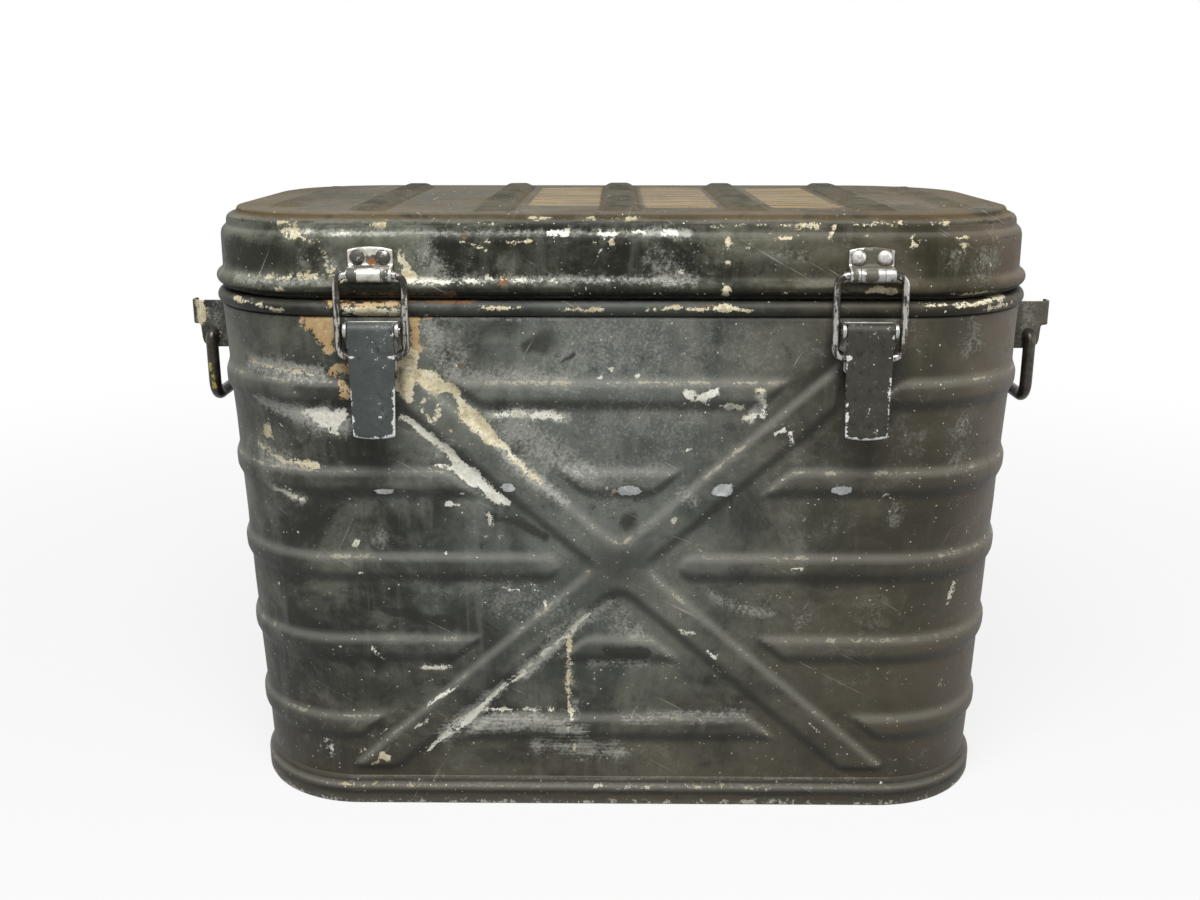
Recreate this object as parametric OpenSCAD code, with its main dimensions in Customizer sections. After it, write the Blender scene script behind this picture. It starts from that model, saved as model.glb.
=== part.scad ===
// Insulated food container: a double-walled can with a lift-off lid, four draw latches,
// two drop handles and three lift-out food pans. Millimetres, +Z up, front face towards -Y.

/* [Outline] */
// Length over the lid's lower bead
can_length = 590; // [500:5:700]
// Depth over the lid's lower bead
can_depth = 320; // [280:5:420]
// Plan radius of the corners at the bead
corner_r = 100; // [80:1:120]
// Height of the body up to the top of its rim
body_h = 383.5; // [340:0.5:430]
// Lean of the body walls, narrower at the base
wall_draft = 2.17; // [1:0.01:3]
// Thickness of the pressed outer sheet
sheet_t = 1.6; // [1.2:0.1:2.5]
// Gap left between pieces that seat on each other
seat_gap = 0.3; // [0.15:0.05:0.4]

/* [Body ribs and cross] */
// Number of ribs up the body
rib_count = 5; // [3:1:5]
// Width of one rib
rib_w = 24; // [16:1:30]
// Height that a rib stands off the wall
rib_h = 3; // [2:0.1:4]
// Width of the cross's arms
cross_w = 30; // [22:1:36]
// Slope of the cross's arms
cross_angle = 41.7; // [36:0.1:46]
// Space between an arm and the end of a rib
cross_gap = 10; // [6:1:16]
// Half width of the cross at its upper ends
cross_top_x = 149; // [130:1:160]
// Height of the cross's lower ends
cross_foot_z = 31; // [28:1:44]

/* [Rim and base] */
// Radius of the rolled bead on the rim and on the lid
bead_r = 5.5; // [4:0.1:7]
// Height of the upright base band
band_h = 14; // [10:0.5:18]
// How far the base band stands out from the wall
band_out = 4.6; // [3:0.1:6]
// Height of the sloped ledge over the band
ledge_h = 7.5; // [5:0.5:10]
// Width of the base band's inward foot
foot_w = 20; // [14:1:30]
// Height of the closing plate over the surface below
base_plate_z = 9; // [6:0.5:14]

/* [Liner] */
// Thickness of the insulation at mid wall
insulation_t = 39; // [30:1:44]
// Sheet thickness of the inner tank
liner_t = 1.2; // [0.8:0.1:2]
// Plan radius of the inner tank's corners
liner_r = 42; // [34:1:50]
// Height of the inner tank's floor
liner_floor_z = 45; // [36:1:60]

/* [Lid] */
// Height of the lid's straight wall over the bead
lid_wall_h = 25; // [18:0.5:30]
// Height of each rolled shoulder
shoulder_h = 8; // [6:0.25:10]
// Depth that each shoulder steps in
shoulder_in = 6.2; // [4:0.1:8]
// Height of the flat panel over the upper shoulder
panel_h = 4.8; // [3:0.1:6]
// Seam between lid and rim
seam_h = 1.7; // [1.2:0.1:3]
// Depth that the lid's plug hangs into the tank
plug_h = 12; // [8:0.5:16]
// Space round the plug
plug_gap = 4; // [3:0.5:6]
// Number of ribs over the lid
lid_rib_count = 5; // [3:2:5]
// Distance between the lid's ribs
lid_rib_pitch = 87; // [70:1:90]
// Width of a lid rib
lid_rib_w = 30; // [20:1:38]
// Height of a lid rib
lid_rib_h = 3.5; // [2:0.1:5]
// Distance of the short corner ribs from the middle
lid_end_rib_x = 236; // [230:1:240]
// Distance that the lid's ribs stop short of the panel's edge
lid_rib_margin = 5; // [2:0.5:12]
// Thickness of the rubber seal under the lid
gasket_t = 2; // [1.5:0.1:3]

/* [Latches] */
// Distance of each latch from the middle
latch_x = 166; // [150:1:180]
// Width of the catch plate on the lid
catch_w = 30; // [24:1:36]
// Height of the catch plate over its knuckle
catch_h = 18; // [14:0.5:20]
// Thickness of the latch sheet
latch_t = 2.2; // [1.6:0.1:2.6]
// Diameter of the bail wire
bail_wire = 5; // [4:0.1:6]
// Width of the bail between wire centres
bail_w = 45.4; // [43:0.1:50]
// Height of the bail between wire centres
bail_h = 54.8; // [50:0.1:60]
// Radius of the bail's corners
bail_bend = 10; // [7:0.5:12]
// Width of the lever
lever_w = 31; // [26:0.5:32]
// Length of the lever below its pin
lever_len = 73; // [60:1:80]
// Diameter of the lever's pin
pin_d = 5; // [4:0.1:5.4]
// Radial clearance of pins and wires in their bores
pivot_gap = 0.1; // [0.05:0.01:0.1]
// Diameter of the rivet heads
rivet_d = 10.5; // [7:0.5:11]
// Height of the bracket under a lever's pin
base_drop = 30; // [24:1:34]
// Diameter of the bracket's rivet heads
base_rivet_d = 6; // [4:0.5:8]
// Distance of the lever's pin over the bail's lower bar
pin_rise = 18; // [17:0.5:22]
// Distance that the bail's foot stands out past its top
bail_out = 1.9; // [1:0.1:3]
// Depth of the knuckle's underside in the bead's shadow
knuckle_dip = 0.7; // [0:0.1:1]
// Drop of the bracket's ears below the pin
ear_drop = 13; // [11:0.5:15]
// Distance between a catch's rivets
catch_rivet_pitch = 17.2; // [14:0.2:18]

/* [Handles] */
// Diameter of the handle's bar
bar_d = 9; // [7:0.5:10]
// Drop of the handle from its pivot to its grip
handle_drop = 48; // [40:1:60]
// Distance between the outer faces of the bracket's ears
bracket_w = 102; // [90:1:110]
// Sheet thickness of the bracket
bracket_t = 2.5; // [2:0.1:3]
// Reach of the bracket's ears from the wall
bracket_reach = 32.5; // [28:1:38]
// Height of the pivot over the bracket's lower edge
pivot_rise = 11; // [9:0.5:13]
// Space between the bracket and the rim above it
bracket_margin = 5; // [4:0.5:8]
// Depth of the flange on the outer end of each ear
bracket_lip = 14; // [8:0.5:24]
// Height of these flanges
lip_h = 18; // [14:0.5:20]
// Diameter of the bracket's rivet heads
bracket_rivet_d = 7; // [5:0.5:9]
// Length that the handle's ends reach through the ears
handle_end = 7; // [6:0.5:10]
// Radius of the handle's lower corners
handle_bend = 12; // [10:0.5:16]
// Distance of the pivot from the outline
handle_out = 13; // [11:0.5:16]

/* [Food pans] */
// Number of pans in the tank
pan_count = 3; // [3:1:3]
// Width of the rolled rim round a pan
pan_rim = 3; // [2:0.25:4]
// Space between the cover grips and the lid's plug
head_gap = 11.2; // [8:0.1:20]
// Sheet thickness of a pan
pan_t = 1.2; // [0.8:0.1:2]
// Plan radius of a pan's rim corners
pan_r = 38; // [30:1:44]
// Space round each pan's rim
pan_gap = 3; // [2:0.25:5]
// Height of a pan's cover over its rim
cover_h = 6; // [4:0.5:8]
// Height of the grip on a cover
grip_h = 12; // [10:0.5:14]
// Length of the grip
grip_l = 80; // [60:1:90]
// Width of the grip
grip_w = 18; // [14:0.5:24]
// Thickness of the grip's strip
grip_t = 2; // [1.5:0.1:2.5]
// Length of each foot of the grip
grip_foot = 12; // [9:0.5:16]
// Thickness of a cover's seal
pan_seal_t = 1.5; // [1:0.1:2.5]

/* [Hidden] */
$fn = 64;
FRONT = 0;
BACK = 180;
LEFT = -1;
RIGHT = 1;
PAINT = "darkolivegreen";
STEEL = "slategray";
BARE = "silver";

// Insets are measured inwards from the outline of the lid's bead.
bead_in = bead_r + 0.5;
shell_top = body_h - 2 * bead_r;
shell_foot = 2;
shell_in_top = bead_in - 2.5;
lid_z = body_h + seam_h;
lid_bead_z = lid_z + bead_r + 1;
lid_wall_in = bead_in - 0.7;
lid_wall_top = lid_bead_z + bead_r + lid_wall_h;
shoulder_1 = lid_wall_top + shoulder_h - 2.5;
shoulder_2 = shoulder_1 + shoulder_h;
lid_top = shoulder_2 + panel_h;
lid_panel_in = lid_wall_in + 2 * shoulder_in;
tank_in = shell_in_top + sheet_t + insulation_t;
tank_l = can_length - 2 * tank_in;
tank_d = can_depth - 2 * tank_in;
rib_pitch = body_h / (rib_count + 1);
rib_z = rib_pitch;
mid_z = rib_z + rib_pitch * 2;

// Inset of the outer wall's face at height z
function wall_in(z) = shell_in_top + (shell_top - z) * tan(wall_draft);
// Radius of a shallow round rib of width w and height h
function rib_radius(w, h) = (w * w / 4 + h * h) / (2 * h);
// Y of the front wall's face at height z
function front_y(z) = -(can_depth / 2 - wall_in(z));

// Plan shape with round corners
module rounded(l, d, r) {
    square([l - 2 * r, d], center = true);
    square([l, d - 2 * r], center = true);
    for (x = [-1, 1], y = [-1, 1])
        translate([x * (l / 2 - r), y * (d / 2 - r)]) circle(r);
}

module slab(l, d, r, z0, z1) {
    translate([0, 0, z0]) linear_extrude(z1 - z0) rounded(l, d, r);
}

// The outline's four quarter corners, end runs and face runs. The child is a section
// whose x is the distance from the corner's centre and whose y is the height.
module corner_turns() {
    for (i = [0:3])
        rotate(i * 90)
            translate([(i % 2 == 0 ? can_length : can_depth) / 2 - corner_r,
                       (i % 2 == 0 ? can_depth : can_length) / 2 - corner_r, 0])
                rotate_extrude(angle = 90) children();
}

module run(half, length) {
    translate([half - corner_r, 0, 0]) rotate([90, 0, 0])
        linear_extrude(length, center = true) children();
}

module end_runs() {
    for (turn = [0, 180]) rotate(turn)
        run(can_length / 2, can_depth - 2 * corner_r) children();
}

module face_runs() {
    for (turn = [90, 270]) rotate(turn)
        run(can_depth / 2, can_length - 2 * corner_r) children();
}

module ring() {
    corner_turns() children();
    end_runs() children();
    face_runs() children();
}

// A solid block whose side follows the points [inset, height] from bottom to top
module block(side) {
    last = len(side) - 1;
    ring() polygon(concat([[0, side[0][1]]], [for (p = side) [corner_r - p[0], p[1]]],
                          [[0, side[last][1]]]));
    translate([corner_r - can_length / 2, corner_r - can_depth / 2, side[0][1]])
        cube([can_length - 2 * corner_r, can_depth - 2 * corner_r, side[last][1] - side[0][1]]);
}

module half_bead(z, r = bead_r) {
    intersection() {
        translate([corner_r - bead_in, z]) circle(r);
        translate([corner_r - bead_in, z - r]) square([r, 2 * r]);
    }
}

// Outer shell: pressed sheet with ribs, and a raised cross on the front and back
module wall_section() {
    polygon([[corner_r - wall_in(shell_foot), shell_foot], [corner_r - wall_in(shell_top), shell_top],
             [corner_r - wall_in(shell_top) - sheet_t, shell_top],
             [corner_r - wall_in(shell_foot) - sheet_t, shell_foot]]);
}

module rib_sections() {
    rad = rib_radius(rib_w, rib_h);
    intersection() {
        for (i = [0:rib_count - 1])
            translate([corner_r - wall_in(rib_z + i * rib_pitch) + rib_h - rad, rib_z + i * rib_pitch])
                circle(rad);
        polygon([[corner_r - wall_in(0) - sheet_t / 2, 0], [corner_r, 0],
                 [corner_r, body_h], [corner_r - wall_in(body_h) - sheet_t / 2, body_h]]);
    }
}

// Stands a shape that is drawn on the XZ plane against the leaning front wall
module on_front() {
    translate([0, front_y(mid_z), mid_z]) rotate([wall_draft, 0, 0]) children();
}

module cross_keepout() {
    w = cross_w + 2 * cross_gap;
    for (a = [-cross_angle, cross_angle]) rotate([0, a, 0])
        cube([can_length, 6 * rib_h, w], center = true);
}

module cross_arms() {
    rad = rib_radius(cross_w, rib_h);
    intersection() {
        for (a = [-cross_angle, cross_angle]) rotate([0, a, 0]) rotate([90, 0, 90])
            linear_extrude(can_length, center = true) intersection() {
                translate([rad - rib_h, 0]) circle(rad);
                translate([-rib_h, -cross_w]) square([rib_h + sheet_t / 2, 2 * cross_w]);
            }
        rotate([90, 0, 0]) linear_extrude(4 * rib_h, center = true)
            polygon([[-can_length, cross_foot_z - mid_z], [can_length, cross_foot_z - mid_z],
                     [cross_top_x, 0], [cross_top_x, mid_z], [-cross_top_x, mid_z], [-cross_top_x, 0]]);
    }
}

module outer_shell() {
    color(PAINT) {
        ring() wall_section();
        corner_turns() rib_sections();
        end_runs() rib_sections();
        difference() {
            face_runs() rib_sections();
            for (turn = [FRONT, BACK]) rotate(turn) on_front() cross_keepout();
        }
        for (turn = [FRONT, BACK]) rotate(turn) on_front() cross_arms();
    }
}

// Base: an upright band with a sloped ledge, and the plate that closes the shell
module base_band() {
    face = wall_in(band_h) - band_out;
    color(PAINT) ring() difference() {
        polygon([[corner_r - face - 1.2, 0], [corner_r - face, 1.2], [corner_r - face, band_h],
                 [corner_r - face - 1.2, band_h + 2.5],
                 [corner_r - wall_in(band_h + ledge_h) + 0.6, band_h + ledge_h],
                 [corner_r - wall_in(band_h) - foot_w, band_h + ledge_h],
                 [corner_r - wall_in(0) - foot_w, 0]]);
        polygon([[corner_r - wall_in(shell_foot) + seat_gap, shell_foot - seat_gap],
                 [corner_r - wall_in(body_h) + seat_gap, body_h],
                 [0, body_h], [0, shell_foot - seat_gap]]);
    }
}

module base_plate() {
    edge = wall_in(base_plate_z) + sheet_t + seat_gap;
    top = wall_in(liner_floor_z / 2) + sheet_t + seat_gap;
    color(BARE) {
        block([[edge, base_plate_z], [wall_in(base_plate_z + sheet_t) + sheet_t + seat_gap,
                                      base_plate_z + sheet_t]]);
        ring() polygon([[corner_r - edge, base_plate_z], [corner_r - top, liner_floor_z / 2],
                        [corner_r - top - sheet_t, liner_floor_z / 2],
                        [corner_r - edge - sheet_t, base_plate_z]]);
    }
}

// Rim: a rolled bead that closes the gap between the shell and the tank's flange
rim_tongue_z = shell_top - 6;
rim_tongue_in = wall_in(rim_tongue_z) + sheet_t + seat_gap;
rim_in = rim_tongue_in + 6;
module top_rim() {
    color(PAINT) ring() {
        half_bead(body_h - bead_r);
        polygon([[corner_r - bead_in, shell_top + seat_gap], [corner_r - bead_in, body_h],
                 [corner_r - rim_in, body_h], [corner_r - rim_in, rim_tongue_z],
                 [corner_r - rim_tongue_in, rim_tongue_z],
                 [corner_r - rim_tongue_in, shell_top + seat_gap]]);
    }
}

// Inner tank with its flange, and the insulation round it
tank_flange_in = rim_in + seat_gap;
module inner_tank() {
    color(BARE) difference() {
        union() {
            slab(tank_l, tank_d, liner_r + liner_t, liner_floor_z, body_h);
            slab(can_length - 2 * tank_flange_in, can_depth - 2 * tank_flange_in,
                 corner_r - tank_flange_in, body_h - 2 * liner_t, body_h);
        }
        slab(tank_l - 2 * liner_t, tank_d - 2 * liner_t, liner_r, liner_floor_z + liner_t, body_h + 1);
    }
}

module body_insulation() {
    low = base_plate_z + sheet_t + seat_gap;
    high = body_h - 2 * liner_t - seat_gap;
    step = rim_tongue_z - seat_gap;
    side = 2 * sheet_t + 2 * seat_gap;
    color("khaki") difference() {
        union() {
            block([[wall_in(low) + side, low], [wall_in(liner_floor_z / 2) + side, liner_floor_z / 2],
                   [wall_in(step) + side, step]]);
            block([[tank_flange_in, step - 1], [tank_flange_in, high]]);
        }
        slab(tank_l + 2 * seat_gap, tank_d + 2 * seat_gap, liner_r + liner_t + seat_gap,
             liner_floor_z - seat_gap, body_h);
    }
}

// Lid: a pressed shell with two rolled shoulders, its liner, filling and rubber seal
function lid_side(t) = [
    [lid_wall_in + t, lid_z], [lid_wall_in + t, lid_wall_top],
    [lid_wall_in + 0.8 + t, lid_wall_top + 2.6 - t * 0.4],
    [lid_wall_in + shoulder_in * 0.7 + t, shoulder_1 - 0.6 - t],
    [lid_wall_in + shoulder_in * 0.75 + t, shoulder_1 + shoulder_h * 0.45 - t],
    [lid_wall_in + shoulder_in * 1.15 + t, shoulder_2 - 1.6 - t],
    [lid_wall_in + shoulder_in * 1.9 + t, shoulder_2 - t],
    [lid_panel_in + t, lid_top - 1 - t], [lid_panel_in + 1.4 + t, lid_top - t]
];
lid_rib_radius = rib_radius(lid_rib_w, lid_rib_h);

module lid_rib(x) {
    edge = lid_panel_in + lid_rib_margin;
    intersection() {
        translate([x, 0, lid_top + lid_rib_h - lid_rib_radius]) rotate([90, 0, 0])
            cylinder(r = lid_rib_radius, h = can_depth, center = true);
        slab(can_length - 2 * edge, can_depth - 2 * edge, corner_r - edge,
             lid_top - sheet_t / 2, lid_top + 2 * lid_rib_h);
    }
}

module lid_shell() {
    color(PAINT) {
        difference() {
            union() {
                block(lid_side(0));
                ring() half_bead(lid_bead_z);
            }
            block(concat([[lid_wall_in + sheet_t, lid_z - 1]], [for (p = lid_side(sheet_t)) if (p[1] > lid_z + 1) p]));
        }
        for (i = [0:lid_rib_count - 1]) lid_rib((i - (lid_rib_count - 1) / 2) * lid_rib_pitch);
        for (x = [-lid_end_rib_x, lid_end_rib_x]) lid_rib(x);
    }
}

plug_l = tank_l - 2 * liner_t - 2 * plug_gap;
plug_d = tank_d - 2 * liner_t - 2 * plug_gap;
plug_r = liner_r - plug_gap;
lid_flange_z = body_h + seat_gap + gasket_t;
module lid_liner() {
    edge = lid_wall_in + sheet_t + seat_gap;
    color(BARE) difference() {
        union() {
            slab(plug_l, plug_d, plug_r, body_h - plug_h, lid_flange_z + liner_t);
            slab(can_length - 2 * edge, can_depth - 2 * edge, corner_r - edge,
                 lid_flange_z, lid_flange_z + liner_t);
        }
        slab(plug_l - 2 * liner_t, plug_d - 2 * liner_t, plug_r - liner_t,
             body_h - plug_h + liner_t, lid_flange_z + liner_t + 1);
    }
}

module lid_insulation() {
    low = lid_flange_z + liner_t + seat_gap;
    gap = sheet_t + seat_gap;
    plug = 2 * (liner_t + seat_gap);
    color("khaki") {
        slab(plug_l - plug, plug_d - plug, plug_r - liner_t - seat_gap,
             body_h - plug_h + liner_t + seat_gap, low + 1);
        block(concat([[lid_wall_in + gap, low]], [for (p = lid_side(gap)) if (p[1] > low + 1) p]));
    }
}

module lid_gasket() {
    color("dimgray") difference() {
        slab(can_length - 2 * tank_flange_in, can_depth - 2 * tank_flange_in,
             corner_r - tank_flange_in, lid_flange_z - gasket_t, lid_flange_z);
        slab(plug_l + 1, plug_d + 1, plug_r + 0.5, 0, can_length);
    }
}

// Latches. Each is drawn on the front face about x = 0 and turned to its place.
module at_latch(face, side) {
    rotate(face) translate([(face == FRONT ? side : -side) * latch_x, 0, 0]) children();
}

module across(w) {
    rotate([90, 0, 90]) linear_extrude(w, center = true) children();
}

lid_wall_y = lid_wall_in - can_depth / 2;
knuckle_r = bail_wire / 2 + pivot_gap + latch_t;
knuckle_y = -(can_depth / 2 - bead_in + bead_r + bail_wire / 2 + seat_gap);
knuckle_z = lid_bead_z + bead_r + knuckle_r - knuckle_dip;
bail_foot_y = knuckle_y - bail_out;
bail_foot_z = knuckle_z - sqrt(bail_h * bail_h - bail_out * bail_out);
lever_pin_y = bail_foot_y;
lever_pin_z = bail_foot_z + pin_rise;
lever_r = pin_d / 2 + pivot_gap + latch_t + 0.5;
ear_t = 2.5;
ear_x = lever_w / 2 + 0.6 + ear_t / 2;
base_back = 0.05;

module catch_plate(face, side) {
    plate_top = knuckle_z + catch_h;
    color(BARE) at_latch(face, side) {
        across(catch_w) difference() {
            union() {
                translate([knuckle_y, knuckle_z]) circle(knuckle_r);
                polygon([[lid_wall_y - base_back, knuckle_z + knuckle_r],
                         [lid_wall_y - base_back - latch_t, knuckle_z + knuckle_r],
                         [knuckle_y, knuckle_z + knuckle_r], [knuckle_y, knuckle_z],
                         [lid_wall_y - base_back, knuckle_z]]);
                translate([lid_wall_y - base_back - latch_t, knuckle_z])
                    square([latch_t, plate_top - knuckle_z - 2]);
            }
            translate([knuckle_y, knuckle_z]) circle(bail_wire / 2 + pivot_gap);
        }
        translate([0, lid_wall_y - base_back, 0]) rotate([90, 0, 0]) linear_extrude(latch_t)
            intersection() {
                translate([0, plate_top - catch_w * 2]) circle(catch_w * 2);
                translate([-catch_w / 2, knuckle_z + knuckle_r]) square([catch_w, catch_h]);
            }
    }
}

// Round-headed rivet whose flat side faces +Y at the origin
module rivet_head(d) {
    h = d * 0.27;
    rad = rib_radius(d, h);
    rotate([90, 0, 0]) rotate_extrude() intersection() {
        translate([0, h - rad]) circle(rad);
        square([d, h]);
    }
}

module catch_rivets() {
    color(BARE) for (face = [FRONT, BACK], side = [LEFT, RIGHT]) at_latch(face, side)
        for (x = [-0.5, 0.5])
            translate([x * catch_rivet_pitch, lid_wall_y - base_back - latch_t,
                       knuckle_z + knuckle_r + rivet_d / 2 + 1]) rivet_head(rivet_d);
}

// The bracket on the body: a plate that follows the leaning wall, and two ears for the pin
module latch_base(face, side) {
    top = min(lever_pin_z + lever_r, shell_top - 0.6);
    foot = lever_pin_z - base_drop;
    neck = lever_pin_z - ear_drop - seat_gap;
    plate = 2;
    color(STEEL) at_latch(face, side) {
        across(2 * ear_x + ear_t) polygon([
            [front_y(top) - base_back, top], [front_y(top) - plate, top],
            [front_y(neck) - plate, neck], [front_y(neck) - base_back, neck]]);
        across(lever_w - 1) polygon([
            [front_y(top) - base_back, top], [front_y(top) - plate, top],
            [front_y(foot) - plate, foot], [front_y(foot) - base_back, foot]]);
        for (x = [-ear_x, ear_x]) translate([x, 0, 0]) across(ear_t) difference() {
            union() {
                translate([lever_pin_y, lever_pin_z]) circle(lever_r);
                polygon([[front_y(top) - base_back, top], [lever_pin_y, lever_pin_z + lever_r],
                         [lever_pin_y - lever_r, lever_pin_z],
                         [lever_pin_y, lever_pin_z - lever_r],
                         [front_y(lever_pin_z) - base_back, lever_pin_z - ear_drop]]);
            }
            translate([lever_pin_y, lever_pin_z]) circle(pin_d / 2);
        }
    }
}

module latch_base_rivets() {
    z = lever_pin_z - base_drop + base_rivet_d;
    color(STEEL) for (face = [FRONT, BACK], side = [LEFT, RIGHT]) at_latch(face, side)
        for (x = [-0.5, 0.5])
            translate([x * catch_rivet_pitch, front_y(z) - 2, z])
                rotate([wall_draft, 0, 0]) rivet_head(base_rivet_d);
}

module latch_pins() {
    color(STEEL) for (face = [FRONT, BACK], side = [LEFT, RIGHT]) at_latch(face, side)
        translate([0, lever_pin_y, lever_pin_z]) rotate([0, 90, 0])
            cylinder(d = pin_d, h = 2 * ear_x + ear_t, center = true);
}

// The lever: rolled round its pin, with a finger that pulls down on the bail
module lever(face, side) {
    out = lever_pin_y - lever_r;
    fold_z = lever_pin_z - pin_rise;
    foot_z = lever_pin_z - lever_len;
    flare = 2.5;
    finger_z = bail_foot_z + bail_wire / 2 + 0.5;
    color(PAINT) at_latch(face, side) {
        intersection() {
            across(lever_w) difference() {
                union() {
                    translate([lever_pin_y, lever_pin_z]) circle(lever_r);
                    polygon([[out, lever_pin_z], [out, fold_z], [out - flare, foot_z],
                             [out - flare + latch_t, foot_z], [out + latch_t, fold_z],
                             [out + latch_t, lever_pin_z]]);
                }
                translate([lever_pin_y, lever_pin_z]) circle(pin_d / 2 + pivot_gap);
            }
            rotate([90, 0, 0]) linear_extrude(can_depth) {
                translate([-lever_w / 2, foot_z + 4]) square([lever_w, lever_len + 2 * lever_r]);
                intersection() {
                    translate([0, foot_z + lever_w * 1.1]) circle(lever_w * 1.1);
                    translate([-lever_w / 2, foot_z]) square([lever_w, 8]);
                }
            }
        }
        translate([-lever_w / 6, out + latch_t - 0.2, finger_z])
            cube([lever_w / 3, bail_wire, latch_t]);
    }
}

// A round wire bent to a closed ring in the XZ plane, hung from its top bar
module wire_ring(w, h, bend, d) {
    for (x = [-1, 1]) {
        translate([x * w / 2, 0, -h + bend]) cylinder(d = d, h = h - 2 * bend);
        for (top = [0, 1])
            translate([x * (w / 2 - bend), 0, top ? -bend : bend - h]) rotate([90, 0, 0])
                rotate(x > 0 ? (top ? 0 : -90) : (top ? 90 : 180))
                    rotate_extrude(angle = 90) translate([bend, 0]) circle(d = d);
    }
    for (z = [0, -h]) translate([0, 0, z]) rotate([0, 90, 0])
        cylinder(d = d, h = w - 2 * bend, center = true);
}

module bail(face, side) {
    lean = asin((knuckle_y - bail_foot_y) / bail_h);
    color(STEEL) at_latch(face, side) translate([0, knuckle_y, knuckle_z]) rotate([-lean, 0, 0])
        wire_ring(bail_w, bail_h, bail_bend * 0.7, bail_wire);
}

// Drop handles at the two ends
handle_x = can_length / 2 + handle_out;
ear_y = bracket_w / 2;
bracket_top = shell_top - bracket_margin;
bracket_foot = rib_z + (rib_count - 1) * rib_pitch + rib_w / 2 + seat_gap;
handle_z = bracket_foot + pivot_rise;
leg_y = ear_y + bar_d / 2 + 0.8;
module handle_bracket(side) {
    wall_top = can_length / 2 - wall_in(bracket_top) + base_back;
    wall_foot = can_length / 2 - wall_in(bracket_foot) + base_back;
    lip_x = wall_top + bracket_reach;
    nose = handle_x + bar_d;
    back_t = 2;
    color(PAINT) rotate(side == RIGHT ? 0 : 180) {
        difference() {
            for (y = [-1, 1]) translate([0, y * (ear_y - bracket_t / 2), 0]) rotate([90, 0, 0])
                linear_extrude(bracket_t, center = true)
                    polygon([[wall_foot, bracket_foot], [nose - bar_d / 3, bracket_foot],
                             [nose, bracket_foot + bar_d / 2], [nose, bracket_top - lip_h],
                             [lip_x, bracket_top - lip_h], [lip_x, bracket_top], [wall_top, bracket_top]]);
            translate([handle_x, 0, handle_z]) rotate([90, 0, 0])
                cylinder(r = bar_d / 2 + seat_gap, h = 2 * bracket_w, center = true);
        }
        for (y = [-ear_y, ear_y - bracket_lip]) translate([lip_x - bracket_t, y, bracket_top - lip_h])
            cube([bracket_t, bracket_lip, lip_h]);
        rotate([90, 0, 0]) linear_extrude(bracket_w - bracket_t, center = true)
            polygon([[wall_foot, bracket_foot], [wall_foot + back_t, bracket_foot],
                     [wall_top + back_t, bracket_top], [wall_top, bracket_top]]);
    }
}

module handle_bracket_rivets() {
    color(BARE) for (turn = [0, 180]) rotate(turn)
        for (y = [-0.32, 0.32], z = [bracket_foot + bracket_rivet_d, bracket_top - bracket_rivet_d])
            translate([can_length / 2 - wall_in(z) + base_back + 2, y * bracket_w, z])
                rotate([0, wall_draft, 0]) rotate(90) rivet_head(bracket_rivet_d);
}

module handle(side) {
    bend = handle_bend;
    knee = handle_bend / 2;
    color(STEEL) rotate(side == RIGHT ? 0 : 180) translate([handle_x, 0, handle_z]) rotate(90) {
        for (x = [-1, 1]) {
            translate([x * leg_y, 0, bend - handle_drop]) cylinder(d = bar_d, h = handle_drop - bend - knee);
            translate([x * (leg_y - bend), 0, bend - handle_drop]) rotate([90, 0, 0])
                rotate(x > 0 ? -90 : 180) rotate_extrude(angle = 90) translate([bend, 0]) circle(d = bar_d);
            translate([x * (leg_y - knee), 0, -knee]) rotate([90, 0, 0])
                rotate(x > 0 ? 0 : 90) rotate_extrude(angle = 90) translate([knee, 0]) circle(d = bar_d);
            translate([x * (leg_y - knee), 0, 0]) rotate([0, -x * 90, 0]) cylinder(d = bar_d, h = handle_end);
        }
        translate([0, 0, -handle_drop]) rotate([0, 90, 0])
            cylinder(d = bar_d, h = 2 * (leg_y - bend), center = true);
    }
}

// Food pans, their covers, seals and grips
pan_l = (tank_l - 2 * liner_t - pan_gap * (pan_count + 1)) / pan_count;
pan_d = tank_d - 2 * liner_t - 2 * pan_gap;
pan_floor = liner_floor_z + liner_t + seat_gap;
cover_z = body_h - plug_h - head_gap - grip_h - cover_h;
pan_top = cover_z - pan_seal_t - seat_gap;
module at_pan(i) {
    translate([i * (pan_l + pan_gap), 0, 0]) children();
}

module pan(i) {
    wall = 2 * pan_rim;
    color(BARE) at_pan(i) difference() {
        union() {
            slab(pan_l - wall, pan_d - wall, pan_r - pan_rim, pan_floor, pan_top);
            slab(pan_l, pan_d, pan_r, pan_top - 4, pan_top);
        }
        slab(pan_l - wall - 2 * pan_t, pan_d - wall - 2 * pan_t, pan_r - pan_rim - pan_t,
             pan_floor + pan_t, pan_top + 1);
    }
}

module pan_seal(i) {
    color("dimgray") at_pan(i) difference() {
        slab(pan_l - 1, pan_d - 1, pan_r - 0.5, pan_top + seat_gap / 2, cover_z - seat_gap / 2);
        slab(pan_l - 2 * pan_rim, pan_d - 2 * pan_rim, pan_r - pan_rim, 0, can_length);
    }
}

module pan_cover(i) {
    step = 2 * (pan_rim + pan_t + 8);
    color(BARE) at_pan(i) difference() {
        union() {
            slab(pan_l, pan_d, pan_r, cover_z, cover_z + pan_t);
            slab(pan_l - step, pan_d - step, pan_r - step / 2, cover_z, cover_z + cover_h);
        }
        slab(pan_l - step - 2 * pan_t, pan_d - step - 2 * pan_t, pan_r - step / 2 - pan_t,
             cover_z - 1, cover_z + cover_h - pan_t);
    }
}

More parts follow.
